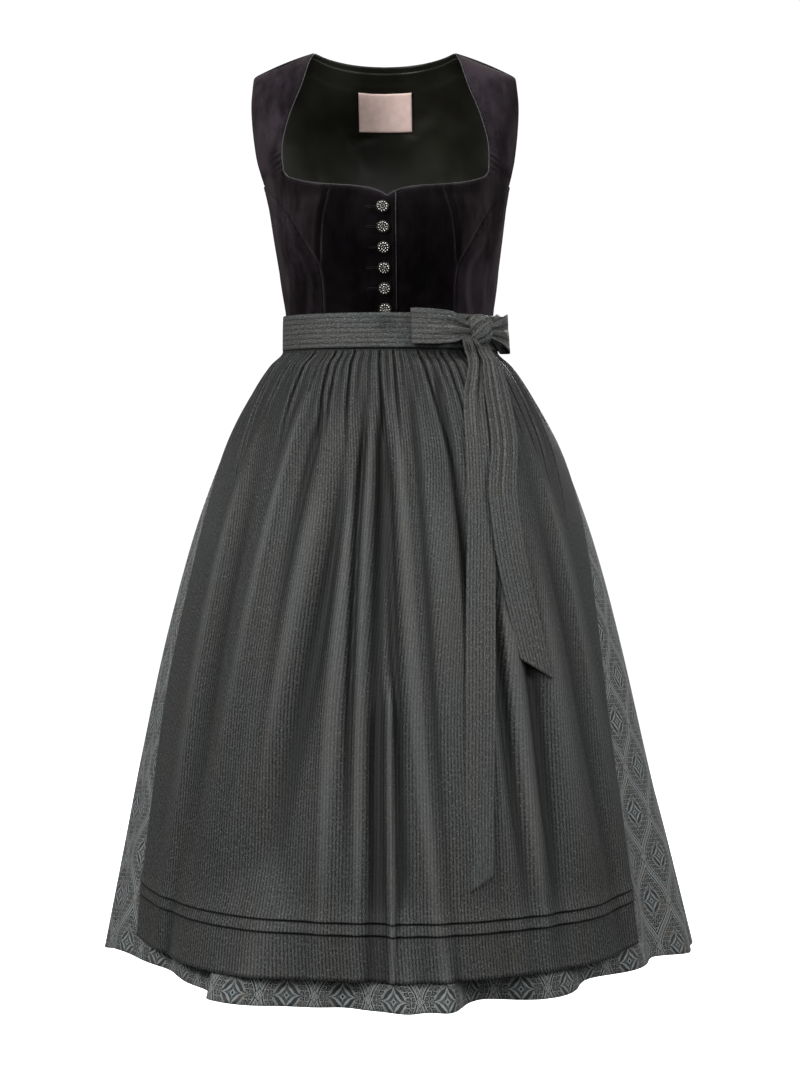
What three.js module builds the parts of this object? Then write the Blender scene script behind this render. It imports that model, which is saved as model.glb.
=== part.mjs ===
import * as THREE from 'three';

// A sleeveless dirndl with its apron and tied bow, filled out and hollow.
// Millimetres, +Z up. The front faces -Y, and +X is the wearer's left.
// The origin lies midway between the two shoulder straps at the top of the shoulders.

const seamGap = 0.3;
const bodiceCloth = 2;
const liningCloth = 1;
const skirtCloth = 1.5;
const apronCloth = 1.3;
const tieCloth = 1.2;

const underarmZ = -166;
const waistSeamZ = -340;
const bandTopZ = -321;
const bandWidth = 42;
const bandBottomZ = bandTopZ - bandWidth;
const skirtHemZ = -1096;
const apronHemZ = -1064;

const buttonDiameter = 15;
const buttonHeight = 4.6;
const buttonCount = 6;
const buttonPitch = 23.8;
const firstButtonZ = -198;
const buttonX = -5.5;

// The filled-out form, one row a height. drift is how far its middle stands towards the wearer's left.
// taper above 1 draws the flanks in between the front and the sides.
const figure = [
  { z: -1100, halfWidth: 360, front: 331, back: 336, taper: 1.5, drift: 18 },
  { z: -959, halfWidth: 330.6, front: 298, back: 306, taper: 1.44, drift: 15.3 },
  { z: -861, halfWidth: 309.3, front: 272, back: 283, taper: 1.38, drift: 12.4 },
  { z: -715, halfWidth: 277, front: 232, back: 247, taper: 1.3, drift: 10.6 },
  { z: -593, halfWidth: 244, front: 194, back: 212, taper: 1.2, drift: 10.3 },
  { z: -495, halfWidth: 207, front: 157, back: 173, taper: 1.1, drift: 9.6 },
  { z: -446, halfWidth: 183, front: 135, back: 147, taper: 1.05, drift: 8.7 },
  { z: -398, halfWidth: 154, front: 110, back: 116, taper: 1, drift: 7.9 },
  { z: -378, halfWidth: 139, front: 98.5, back: 101, taper: 1, drift: 7.4 },
  { z: -365, halfWidth: 127.2, front: 91.4, back: 84, taper: 1, drift: 7.1 },
  { z: -340, halfWidth: 125.4, front: 90, back: 83, taper: 1, drift: 6.6 },
  { z: -320, halfWidth: 126.6, front: 92.5, back: 83.5, taper: 1, drift: 6.3 },
  { z: -300, halfWidth: 129.2, front: 98, back: 86, taper: 1, drift: 5.9 },
  { z: -270, halfWidth: 133, front: 105, back: 90.5, taper: 1, drift: 5.4 },
  { z: -233, halfWidth: 137.9, front: 112.5, back: 95.5, taper: 1, drift: 4.6 },
  { z: -196, halfWidth: 143.4, front: 114, back: 100, taper: 1, drift: 3.9 },
  { z: -178, halfWidth: 147, front: 110, back: 101, taper: 1, drift: 3.4 },
  { z: -160, halfWidth: 150.7, front: 105, back: 101, taper: 1, drift: 2.7 },
  { z: -123, halfWidth: 158, front: 92, back: 97, taper: 1, drift: 1.4 },
  { z: 10, halfWidth: 160, front: 60, back: 60, taper: 1, drift: 0 },
];

// Large folds that run down the skirt. Angles in degrees from the middle of the front, positive to
// the wearer's left. lift above 0 is a ridge, below 0 a trough, in full at the hem.
const skirtFolds = [
  { topAngle: 1, hemAngle: 1.5, halfAngle: 3.4, startZ: -640, lift: 19 },
  { topAngle: 7, hemAngle: 8.6, halfAngle: 2.9, startZ: -640, lift: 22 },
  { topAngle: 17, hemAngle: 17.5, halfAngle: 6.4, startZ: -560, lift: -46 },
  { topAngle: 37, hemAngle: 42, halfAngle: 8.5, startZ: -600, lift: -40 },
  { topAngle: 60, hemAngle: 62, halfAngle: 6, startZ: -520, lift: -14 },
  { topAngle: 76, hemAngle: 74, halfAngle: 5, startZ: -520, lift: 8 },
  { topAngle: -8, hemAngle: -10, halfAngle: 4, startZ: -620, lift: -12 },
  { topAngle: -22, hemAngle: -25, halfAngle: 5, startZ: -620, lift: 12 },
  { topAngle: -34, hemAngle: -38.5, halfAngle: 6.6, startZ: -600, lift: 30 },
  { topAngle: -52, hemAngle: -50, halfAngle: 5, startZ: -560, lift: -12 },
  { topAngle: -66, hemAngle: -68, halfAngle: 6, startZ: -520, lift: 10 },
  { topAngle: -80, hemAngle: -80, halfAngle: 4.5, startZ: -520, lift: -8 },
  { topAngle: 92, hemAngle: 90, halfAngle: 5, startZ: -540, lift: -6 },
  { topAngle: 106, hemAngle: 104, halfAngle: 6, startZ: -470, lift: 18 },
  { topAngle: 121, hemAngle: 120, halfAngle: 6.5, startZ: -450, lift: -26 },
  { topAngle: 137, hemAngle: 138, halfAngle: 7, startZ: -480, lift: 20 },
  { topAngle: 152, hemAngle: 155, halfAngle: 6, startZ: -430, lift: -28 },
  { topAngle: 168, hemAngle: 170, halfAngle: 6.5, startZ: -460, lift: 22 },
  { topAngle: -176, hemAngle: -174, halfAngle: 6, startZ: -450, lift: -27 },
  { topAngle: -160, hemAngle: -158, halfAngle: 7, startZ: -480, lift: 19 },
  { topAngle: -144, hemAngle: -142, halfAngle: 6.5, startZ: -440, lift: -29 },
  { topAngle: -127, hemAngle: -125, halfAngle: 6, startZ: -470, lift: 21 },
  { topAngle: -111, hemAngle: -108, halfAngle: 6.5, startZ: -450, lift: -20 },
  { topAngle: -96, hemAngle: -95, halfAngle: 5, startZ: -520, lift: 9 },
];

// Large folds of the apron, read as the skirt's are.
const apronFolds = [
  { topAngle: -45, hemAngle: -44, halfAngle: 5, startZ: -470, lift: -9 },
  { topAngle: -30, hemAngle: -35, halfAngle: 5.5, startZ: -470, lift: 12 },
  { topAngle: -17, hemAngle: -25, halfAngle: 4.2, startZ: -410, lift: -17 },
  { topAngle: -11, hemAngle: -14, halfAngle: 4.2, startZ: -450, lift: 9 },
  { topAngle: -5.4, hemAngle: -4.4, halfAngle: 3, startZ: -420, lift: -22 },
  { topAngle: 0.5, hemAngle: -0.6, halfAngle: 1.9, startZ: -640, lift: 9 },
  { topAngle: 4, hemAngle: 3, halfAngle: 2, startZ: -600, lift: -8 },
  { topAngle: 9, hemAngle: 7, halfAngle: 3.6, startZ: -480, lift: 14 },
  { topAngle: 18, hemAngle: 15, halfAngle: 4, startZ: -390, lift: -15 },
  { topAngle: 24, hemAngle: 22.5, halfAngle: 3.2, startZ: -460, lift: 8 },
  { topAngle: 31, hemAngle: 28.5, halfAngle: 3.2, startZ: -520, lift: -14 },
  { topAngle: 39, hemAngle: 36, halfAngle: 4, startZ: -470, lift: 8 },
  { topAngle: 50, hemAngle: 46, halfAngle: 4, startZ: -450, lift: -9 },
];

// The two long edges of the apron, as angles at each height.
const apronEdges = [
  { z: -1066, right: -58.2, left: 50.3 },
  { z: -1008, right: -60.2, left: 51.2 },
  { z: -886, right: -62.6, left: 54.2 },
  { z: -776, right: -65.2, left: 57.4 },
  { z: -690, right: -66.4, left: 61.4 },
  { z: -610, right: -68.2, left: 67 },
  { z: -552, right: -71.6, left: 73 },
  { z: -490, right: -79, left: 81.5 },
  { z: -420, right: -90, left: 90 },
  { z: -362, right: -100, left: 98 },
];

// Heights of the front neckline, by the angle to either side of the middle.
const necklineFront = [
  { angle: 0, z: -185 },
  { angle: 3.5, z: -180 },
  { angle: 11, z: -174.5 },
  { angle: 22, z: -171.5 },
  { angle: 32, z: -169 },
  { angle: 43, z: -164 },
  { angle: 50, z: -159 },
  { angle: 54, z: -155 },
];

// Back neckline from the neck end of the shoulder seam to the middle of the back.
const necklineBack = [
  { x: 87, y: 5, z: 2 },
  { x: 72, y: 17, z: -3 },
  { x: 49, y: 35, z: -6.5 },
  { x: 24, y: 47, z: -8 },
  { x: 0, y: 50.5, z: -8.5 },
];

// The front straps above the neckline corner: the neck edge, the armhole edge and the bulge between.
const strapRows = [
  { neckX: 124.4, neckY: -58.2, neckZ: -139.7, armX: 152.6, armY: -29.5, armZ: -149, bulge: 2 },
  { neckX: 125, neckY: -55, neckZ: -124, armX: 156.3, armY: -25, armZ: -134, bulge: 4 },
  { neckX: 120.5, neckY: -44, neckZ: -93, armX: 161, armY: -20, armZ: -98, bulge: 6 },
  { neckX: 109, neckY: -34.5, neckZ: -61, armX: 162.5, armY: -18, armZ: -67, bulge: 6 },
  { neckX: 98.5, neckY: -26, neckZ: -33, armX: 161, armY: -15, armZ: -46, bulge: 6 },
  { neckX: 91.5, neckY: -13, neckZ: -8, armX: 159.5, armY: -8, armZ: -32, bulge: 4 },
  { neckX: 87, neckY: 5, neckZ: 2, armX: 158, armY: 5, armZ: -27, bulge: 2 },
];

// Seam between the front and the side front: its angle at each height.
const frontSeam = [
  { z: -340, angle: 38.8 },
  { z: -318, angle: 38.5 },
  { z: -284, angle: 37.4 },
  { z: -262, angle: 38.2 },
  { z: -249, angle: 41.4 },
  { z: -217, angle: 50 },
  { z: -190, angle: 60.5 },
  { z: -163, angle: 76 },
];
const frontSeamTop = { angle: 76, z: -163 };

const strapInnerAngle = 54;
const lapEdgeX = 8.5;
const underLapX = -18;

const material = {
  velvet: new THREE.MeshStandardMaterial({ color: 0x241e26, roughness: 0.9, metalness: 0 }),
  lining: new THREE.MeshStandardMaterial({ color: 0x14160f, roughness: 0.6, metalness: 0 }),
  label: new THREE.MeshStandardMaterial({ color: 0xa5918c, roughness: 0.7, metalness: 0 }),
  piping: new THREE.MeshStandardMaterial({ color: 0x55565a, roughness: 0.5, metalness: 0 }),
  jacquard: new THREE.MeshStandardMaterial({ color: 0x4d595c, roughness: 0.65, metalness: 0 }),
  apron: new THREE.MeshStandardMaterial({ color: 0x464a4c, roughness: 0.6, metalness: 0 }),
  tie: new THREE.MeshStandardMaterial({ color: 0x58605c, roughness: 0.6, metalness: 0 }),
  pewter: new THREE.MeshStandardMaterial({ color: 0x969187, roughness: 0.35, metalness: 0.9 }),
};

const dirndl = new THREE.Group();
dirndl.name = 'dirndl';

const radians = THREE.MathUtils.degToRad;
const lerp = THREE.MathUtils.lerp;
const easeBetween = (x, from, to) => THREE.MathUtils.smoothstep(x, Math.min(from, to), Math.max(from, to));

// Reads one column of a table at a place between its rows, on a smooth curve through them.
function readTable(table, key, column, place) {
  const rising = table[table.length - 1][key] > table[0][key];
  const rows = rising ? table : [...table].reverse();
  const last = rows.length - 1;
  if (place <= rows[0][key]) return rows[0][column];
  if (place >= rows[last][key]) return rows[last][column];
  let i = 0;
  while (rows[i + 1][key] < place) i += 1;
  const slope = (a, b) => (rows[b][column] - rows[a][column]) / (rows[b][key] - rows[a][key]);
  const here = slope(i, i + 1);
  const bend = (a, b) => (a * b <= 0 ? 0 : (2 * a * b) / (a + b));
  const startSlope = i > 0 ? bend(slope(i - 1, i), here) : here;
  const endSlope = i + 1 < last ? bend(here, slope(i + 1, i + 2)) : here;
  const span = rows[i + 1][key] - rows[i][key];
  const t = (place - rows[i][key]) / span;
  const t2 = t * t;
  const t3 = t2 * t;
  return (2 * t3 - 3 * t2 + 1) * rows[i][column] + (t3 - 2 * t2 + t) * span * startSlope
    + (3 * t2 - 2 * t3) * rows[i + 1][column] + (t3 - t2) * span * endSlope;
}

// Evenly or freely spaced values from a list of stops, each span cut into equal steps.
function spread(from, to, steps) {
  return Array.from({ length: steps + 1 }, (_, i) => lerp(from, to, i / steps));
}

// The form without drift, at an angle and a height.
function figureBase(angle, z) {
  const turn = radians(angle);
  const halfWidth = readTable(figure, 'z', 'halfWidth', z);
  const taper = readTable(figure, 'z', 'taper', z);
  const inFront = Math.cos(turn) > 0;
  const depth = readTable(figure, 'z', inFront ? 'front' : 'back', z);
  const along = Math.pow(Math.abs(Math.cos(turn)), taper);
  return new THREE.Vector3(halfWidth * Math.sin(turn), inFront ? -depth * along : depth * along, z);
}

// Two rounded cups over the darts, level with the underarm's lower third.
const bust = { x: 78, z: -214, spreadX: 40, spreadUp: 30, spreadDown: 46, rise: 9 };

function bustRise(x, y, z) {
  if (y > 0) return 0;
  const across = (Math.abs(x) - bust.x) / bust.spreadX;
  const up = (z - bust.z) / (z > bust.z ? bust.spreadUp : bust.spreadDown);
  return bust.rise * Math.exp(-across * across - up * up);
}

// A point on the form moved out level by an offset square to its outline at that height.
function figurePoint(angle, z, offset = 0) {
  const step = 0.5;
  const point = figureBase(angle, z);
  const round = figureBase(angle + step, z).sub(figureBase(angle - step, z));
  const rise = figureBase(angle, z + step).sub(figureBase(angle, z - step));
  const outward = round.cross(rise).setZ(0).normalize();
  return point.addScaledVector(outward, offset + bustRise(point.x, point.y, z));
}

// Moves a point with the whole garment's sideways drift.
function drifted(point) {
  return new THREE.Vector3(point.x + readTable(figure, 'z', 'drift', point.z), point.y, point.z);
}

// A wall of cloth between a grid of outer points and a grid of inner points, with closed rims.
// keep(row, column) leaves out the cells that the cut of the cloth does not cover.
function clothWall(outer, inner, keep = () => true) {
  const rows = outer.length;
  const columns = outer[0].length;
  const used = new Map();
  const positions = [];
  const triangles = [];
  const vertex = (grid, side, i, j) => {
    const name = `${side}_${i}_${j}`;
    if (!used.has(name)) {
      used.set(name, positions.length / 3);
      positions.push(...drifted(grid[i][j]).toArray());
    }
    return used.get(name);
  };
  const out = (i, j) => vertex(outer, 'out', i, j);
  const into = (i, j) => vertex(inner, 'in', i, j);
  const face = (a, b, c, d) => triangles.push(a, b, c, a, c, d);
  const covered = (i, j) => i >= 0 && j >= 0 && i < rows - 1 && j < columns - 1 && keep(i, j);
  for (let i = 0; i < rows - 1; i += 1) {
    for (let j = 0; j < columns - 1; j += 1) {
      if (!covered(i, j)) continue;
      face(out(i, j), out(i, j + 1), out(i + 1, j + 1), out(i + 1, j));
      face(into(i, j), into(i + 1, j), into(i + 1, j + 1), into(i, j + 1));
      if (!covered(i - 1, j)) face(into(i, j), into(i, j + 1), out(i, j + 1), out(i, j));
      if (!covered(i + 1, j)) face(out(i + 1, j), out(i + 1, j + 1), into(i + 1, j + 1), into(i + 1, j));
      if (!covered(i, j - 1)) face(into(i, j), out(i, j), out(i + 1, j), into(i + 1, j));
      if (!covered(i, j + 1)) face(out(i, j + 1), into(i, j + 1), into(i + 1, j + 1), out(i + 1, j + 1));
    }
  }
  const geometry = new THREE.BufferGeometry();
  geometry.setAttribute('position', new THREE.Float32BufferAttribute(positions, 3));
  geometry.setIndex(triangles);
  return geometry;
}

// Rows must rise and columns must run towards the wearer's left in front, so that faces point out.
function addPiece(name, geometry, cloth, shift = [0, 0, 0]) {
  geometry.computeVertexNormals();
  const mesh = new THREE.Mesh(geometry, cloth);
  mesh.name = name;
  mesh.position.set(...shift);
  dirndl.add(mesh);
  return mesh;
}

// Builds a wall from a surface function surface(row, column, offset) on lists of rows and columns.
function sheet(rows, columns, surface, outerOffset, thickness, keep) {
  const grid = (offset) => rows.map((row) => columns.map((column) => surface(row, column, offset)));
  return clothWall(grid(outerOffset), grid(outerOffset - thickness), keep);
}

// Reverses a left-hand surface for the wearer's right side.
const mirrorX = (point) => new THREE.Vector3(-point.x, point.y, point.z);
const frontShift = [0, -seamGap / 2, 0];
const backShift = [0, seamGap / 2, 0];
const seamAngle = 0.08;

// Bodice fronts

// The point of the strap column a share of the way from the neck edge to the armhole edge.
function strapPoint(share, rise, offset) {
  const angle = lerp(strapInnerAngle, frontSeamTop.angle, share);
  const baseZ = lerp(readTable(necklineFront, 'angle', 'z', strapInnerAngle), frontSeamTop.z, share);
  const at = (dShare) => {
    const s = share + dShare;
    const column = [figurePoint(angle, baseZ - 26), figurePoint(angle, baseZ)];
    for (const row of strapRows) {
      const neck = new THREE.Vector3(row.neckX, row.neckY, row.neckZ);
      const arm = new THREE.Vector3(row.armX, row.armY, row.armZ);
      const across = arm.clone().sub(neck).normalize();
      const bulgeWay = across.cross(new THREE.Vector3(0, -0.25, 1)).normalize().negate();
      if (bulgeWay.y > 0) bulgeWay.negate();
      column.push(neck.lerp(arm, s).addScaledVector(bulgeWay, row.bulge * 4 * s * (1 - s)));
    }
    return new THREE.CatmullRomCurve3(column, false, 'centripetal');
  };
  const knots = strapRows.length + 1;
  const t = lerp(1, knots, rise) / knots;
  const curve = at(0);
  const point = curve.getPoint(t);
  if (offset === 0) return point;
  const step = 0.02;
  const across = at(step).getPoint(t).sub(at(-step).getPoint(t));
  const outward = across.cross(curve.getTangent(t)).normalize();
  return point.addScaledVector(outward, offset);
}

// Columns run straight up beside the lap, and fan out from there to the curved seam.
const lapZone = { share: 0.2, angle: 7.3 };
const strapShare = lerp(lapZone.share, 1,
  (strapInnerAngle - lapZone.angle) / (frontSeamTop.angle - lapZone.angle));

function frontAngle(share, lapAngle, seamAt) {
  if (share < lapZone.share) return lerp(lapAngle, lapZone.angle, share / lapZone.share);
  return lerp(lapZone.angle, seamAt, (share - lapZone.share) / (1 - lapZone.share));
}

// Rows 0 to 1 climb from the waist to the neckline, and rows 1 to 2 climb the strap.
function frontPoint(row, share, lapAngle, offset) {
  if (row > 1) {
    return strapPoint(Math.max(0, (share - strapShare) / (1 - strapShare)), row - 1, offset);
  }
  const seamZ = lerp(waistSeamZ, frontSeamTop.z, row);
  const seamAt = readTable(frontSeam, 'z', 'angle', seamZ) - seamAngle;
  const angle = frontAngle(share, lapAngle, seamAt);
  const topAngle = frontAngle(share, lapAngle, frontSeamTop.angle);
  const strapTop = lerp(readTable(necklineFront, 'angle', 'z', strapInnerAngle), frontSeamTop.z,
    (share - strapShare) / (1 - strapShare));
  const topZ = share < strapShare ? readTable(necklineFront, 'angle', 'z', Math.abs(topAngle)) : strapTop;
  return figurePoint(angle, lerp(waistSeamZ, topZ, row), offset);
}

const frontRadius = 138;
const frontRowCount = 8;
const shoulderStop = 0.012;
const frontRows = [...spread(0, 1, frontRowCount), ...spread(1, 2 - shoulderStop, 8).slice(1)];

function addFront(name, side, lapX, dipUnderLap) {
  const lapAngle = side * THREE.MathUtils.radToDeg(Math.asin(lapX / frontRadius));
  const clearOfLap = THREE.MathUtils.radToDeg(Math.asin((lapEdgeX + 1) / frontRadius));
  const besideLap = lapZone.share * (clearOfLap - lapAngle) / (lapZone.angle - lapAngle);
  const shares = [0, besideLap, ...spread(lapZone.share, strapShare, 5),
    ...spread(strapShare, 1, 4).slice(1)];
  const underLap = (share) => (share < lapZone.share - 0.001 ? 1 : 0);
  const surface = (row, share, offset) => {
    const point = frontPoint(row, share, lapAngle, offset);
    if (dipUnderLap && row <= 1) point.y += (bodiceCloth + seamGap) * underLap(share);
    return side > 0 ? point : mirrorX(point);
  };
  const columns = side > 0 ? shares : [...shares].reverse();
  const keep = (i, j) => i < frontRowCount || Math.min(columns[j], columns[j + 1]) > strapShare - 0.001;
  addPiece(name, sheet(frontRows, columns, surface, 0, bodiceCloth, keep), material.velvet, frontShift);
}

addFront('front_right', -1, lapEdgeX, false);
addFront('front_left', 1, underLapX, true);

// Side fronts, from the curved seam to the side seam under the arm
function addSideFront(name, side) {
  const surface = (row, share, offset) => {
    const seamZ = lerp(waistSeamZ, frontSeamTop.z, row);
    const seamAt = readTable(frontSeam, 'z', 'angle', seamZ) + seamAngle;
    const topZ = lerp(frontSeamTop.z, underarmZ, easeBetween(share, 0, 1));
    const point = figurePoint(lerp(seamAt, 90, share), lerp(waistSeamZ, topZ, row), offset);
    return side > 0 ? point : mirrorX(point);
  };
  const shares = side > 0 ? spread(0, 1, 5) : spread(1, 0, 5);
  addPiece(name, sheet(spread(0, 1, 8), shares, surface, 0, bodiceCloth), material.velvet, frontShift);
}

addSideFront('side_front_right', -1);
addSideFront('side_front_left', 1);

// Bodice back

const backUnderarmRow = 0.5;
const shoulderShare = 0.48;
const shoulderTip = strapRows[strapRows.length - 1];

// The top edge of the back, from the shoulder tip along the shoulder seam and the neckline.
function backTop(share) {
  if (share > 1 - shoulderShare) {
    const along = (share - (1 - shoulderShare)) / shoulderShare;
    const neck = new THREE.Vector3(shoulderTip.neckX, shoulderTip.neckY, shoulderTip.neckZ);
    const tip = new THREE.Vector3(shoulderTip.armX, shoulderTip.armY, shoulderTip.armZ);
    const point = neck.lerp(tip, along);
    point.z += shoulderTip.bulge * 4 * along * (1 - along);
    return point;
  }
  const curve = new THREE.CatmullRomCurve3(necklineBack.map((p) => new THREE.Vector3(p.x, p.y, p.z)));
  return curve.getPoint(1 - share / (1 - shoulderShare));
}

// share runs from 0 at the middle of the back to 1 at the side seam and the armhole edge.
// Rows 0 to backUnderarmRow climb to the underarm, and the rest climb to the shoulder.
function backBase(row, share) {
  const angle = 180 - 90 * share;
  if (row <= backUnderarmRow) {
    return figurePoint(angle, lerp(waistSeamZ, underarmZ, row / backUnderarmRow));
  }
  const t = (row - backUnderarmRow) / (1 - backUnderarmRow);
  const start = figurePoint(angle, underarmZ);
  const end = backTop(share);
  const overShoulder = easeBetween(share, 0.3, 0.75);
  const nearArmhole = easeBetween(share, 0.55, 1);
  const leave = new THREE.Vector3(-10 * nearArmhole, 52 * nearArmhole, lerp(62, 30, nearArmhole));
  const arrive = new THREE.Vector3(0, lerp(28, 38, overShoulder), lerp(-48, -12, overShoulder));
  arrive.y = lerp(arrive.y, 26, nearArmhole);
  arrive.z = lerp(arrive.z, -22, nearArmhole);
  const curve = new THREE.CubicBezierCurve3(start, start.clone().add(leave), end.clone().add(arrive), end);
  return curve.getPoint(t);
}

function backPoint(row, share, offset) {
  const side = share < 0 ? -1 : 1;
  if (row <= backUnderarmRow) {
    const z = lerp(waistSeamZ, underarmZ, row / backUnderarmRow);
    return figurePoint(180 - 90 * share, z, offset);
  }
  const at = (r, s) => {
    const point = backBase(THREE.MathUtils.clamp(r, 0, 1), Math.min(Math.abs(s), 1));
    return s < 0 ? mirrorX(point) : point;
  };
  const point = at(row, share);
  const step = 0.01;
  const inwardShare = Math.abs(share) > 1 - step ? share - side * step : share;
  const across = at(row, inwardShare - step).sub(at(row, inwardShare + step));
  const low = Math.max(0, row - step);
  const rise = at(Math.min(1, row + step), inwardShare).sub(at(low, inwardShare));
  return point.addScaledVector(across.cross(rise).normalize(), offset);
}

// Back seams curve from the armhole to the waist.
const backSeam = [
  { row: 0, share: 0.3 },
  { row: 0.2, share: 0.32 },
  { row: 0.4, share: 0.4 },
  { row: 0.55, share: 0.54 },
  { row: 0.68, share: 0.75 },
  { row: 0.78, share: 0.97 },
];
const backSeamTopRow = 0.78;
const seamShare = 0.0012;

const seamRows = [0, 0.0586, 0.16, 0.27, 0.38, 0.5, 0.6, 0.69, backSeamTopRow];
const backRows = [...seamRows, ...spread(backSeamTopRow, 1 - shoulderStop / 2, 5).slice(1)];
const backSurface = (row, fraction, offset) => {
  const reach = row <= backSeamTopRow ? readTable(backSeam, 'row', 'share', row) - seamShare : 1;
  return backPoint(row, -reach * fraction, offset);
};
addPiece('back_centre', sheet(backRows, spread(-1, 1, 14), backSurface, 0, bodiceCloth),
  material.velvet, backShift);

function addSideBack(name, side) {
  const surface = (row, share, offset) => {
    const seamAt = readTable(backSeam, 'row', 'share', row) + seamShare;
    return backPoint(row, side * lerp(seamAt, 1, share), offset);
  };
  const shares = side > 0 ? spread(1, 0, 4) : spread(0, 1, 4);
  addPiece(name, sheet(seamRows, shares, surface, 0, bodiceCloth), material.velvet, backShift);
}

addSideBack('side_back_right', -1);
addSideBack('side_back_left', 1);

// Lining of the back and the blank label, seen through the neck
const liningGap = 1.5;
const labelGap = 1.2;
const liningOffset = -bodiceCloth - liningGap;
const liningRows = [0.02, ...backRows.slice(1, -1), 0.98];
const liningSurface = (row, share, offset) => backPoint(row, -share, offset);
addPiece('back_lining', sheet(liningRows, spread(-0.96, 0.96, 14), liningSurface,
  liningOffset, liningCloth), material.lining, backShift);

const label = { width: 68, topZ: -36, bottomZ: -83, thickness: 0.8 };
const labelOffset = liningOffset - liningCloth - labelGap;

// The back's row at a height in its middle.
function backRowAt(z) {
  let low = backUnderarmRow;
  let high = 1;
  for (let i = 0; i < 30; i += 1) {
    const middle = (low + high) / 2;
    if (backBase(middle, 0).z < z) low = middle;
    else high = middle;
  }
  return (low + high) / 2;
}

const labelShare = label.width / 2 / backBase(backRowAt(-60), 0.25).x * 0.25;
addPiece('label', sheet(spread(backRowAt(label.bottomZ), backRowAt(label.topZ), 3),
  spread(-labelShare, labelShare, 6), liningSurface, labelOffset, label.thickness), material.label, backShift);

// Piping round the neckline and down the lap edge
const piping = { radius: 0.9, sides: 6, gap: 0.9 };

function addPiping(name, points, steps) {
  const curve = new THREE.CatmullRomCurve3(points.map(drifted), false, 'centripetal');
  const section = new THREE.Shape();
  section.absarc(0, 0, piping.radius, 0, Math.PI * 2, false);
  const tube = new THREE.ExtrudeGeometry(section, {
    steps, curveSegments: piping.sides / 2, bevelEnabled: false, extrudePath: curve,
  });
  addPiece(name, tube, material.piping);
}

const pipingRise = piping.radius + piping.gap;
const middleOfCloth = -bodiceCloth / 2;
function necklinePoint(side, angle) {
  const z = readTable(necklineFront, 'angle', 'z', Math.abs(angle)) + pipingRise;
  const point = figurePoint(Math.abs(angle), z, middleOfCloth);
  point.x *= side;
  point.y -= seamGap / 2;
  return point;
}
function strapEdgePoint(side, rise) {
  const point = strapPoint(0, rise, middleOfCloth);
  point.x = (point.x - pipingRise - seamGap) * side;
  point.y -= seamGap / 2;
  return point;
}
for (const [name, side] of [['piping_front_right', -1], ['piping_front_left', 1]]) {
  const edge = [8, 14, 22, 32, 42, 48, 50.5].map((angle) => necklinePoint(side, angle));
  const strap = [0.06, 0.2, 0.36, 0.52, 0.68, 0.82, 0.94].map((rise) => strapEdgePoint(side, rise));
  addPiping(name, [...edge, ...strap], 26);
}
const backEdge = spread(-0.96, 0.96, 14).map((share) => {
  const point = backTop(Math.abs(share) * (1 - shoulderShare));
  point.x *= Math.sign(share);
  point.z += piping.radius - seamGap;
  return point;
});
addPiping('piping_back', backEdge, 22);

// Skirt

const columnsPerGather = 3;
const skirtGathers = { front: 16, back: 25 };

// How far the folds of a table push the cloth out at an angle and a height.
function foldLift(folds, angle, z, hemZ) {
  let lift = 0;
  for (const fold of folds) {
    const drop = THREE.MathUtils.clamp((fold.startZ - z) / (fold.startZ - hemZ), 0, 1);
    if (drop === 0) continue;
    const middle = lerp(fold.topAngle, fold.hemAngle, drop);
    let away = Math.abs(angle - middle) % 360;
    if (away > 180) away = 360 - away;
    const across = away / fold.halfAngle;
    lift += fold.lift * Math.pow(drop, 1.15) * Math.exp(-across * across);
  }
  return lift;
}

// The height of the skirt's hem: it lifts a little over the flanks.
function skirtHemAt(angle) {
  const flank = (Math.abs(angle) - 58) / 16;
  const side = Math.sin(radians(angle));
  return skirtHemZ + 6 * side * side + 9 * Math.exp(-flank * flank);
}

// Small gathers under the waist, uneven in height, that fade out down the skirt.
function gatherLift(phase, number, z, topZ, height, fadeZ) {
  const grow = easeBetween(topZ - z, 2, 22);
  const fade = 1 - easeBetween(z, fadeZ, topZ - 30);
  const uneven = 1 + 0.3 * Math.sin(number * 2.4) + 0.18 * Math.sin(number * 5.1 + 1);
  return height * grow * (1 - fade) * uneven * Math.cos(2 * Math.PI * phase);
}

function addSkirt(name, fromAngle, gathers, height, shift) {
  const cells = gathers * columnsPerGather;
  const heights = [0, 0.0325, 0.053, 0.1, 0.19, 0.32, 0.5, 0.75, 1];
  const surface = (share, column, offset) => {
    const angle = fromAngle + (180 * column) / cells;
    const turned = angle > 180 ? angle - 360 : angle;
    const z = lerp(waistSeamZ - seamGap, skirtHemAt(turned), share);
    const gather = gatherLift(column / columnsPerGather, Math.floor(column / columnsPerGather),
      z, bandBottomZ, height, -620);
    const lift = foldLift(skirtFolds, turned, z, skirtHemZ);
    return figurePoint(angle, z, offset + lift + gather);
  };
  const rows = [...heights].reverse();
  const columns = spread(0, cells, cells);
  addPiece(name, sheet(rows, columns, surface, 0, skirtCloth), material.jacquard, shift);
}

addSkirt('skirt_front', -90, skirtGathers.front, 0.8, frontShift);
addSkirt('skirt_back', 90, skirtGathers.back, 3.2, backShift);

// Apron

const apronGathers = 31;
const apronStandOff = 7.5;
const apronTopLift = 4;
const apronCells = apronGathers * columnsPerGather;
const tuck = { lip: 0.8, rise: 1.8 };
const tuckAboveHem = [61, 48];

function apronEdgeAngle(z, share) {
  return lerp(readTable(apronEdges, 'z', 'right', z), readTable(apronEdges, 'z', 'left', z), share);
}

function apronHemAt(share) {
  return apronHemZ + 13 * Math.pow(Math.abs(2 * share - 1), 7);
}

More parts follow.
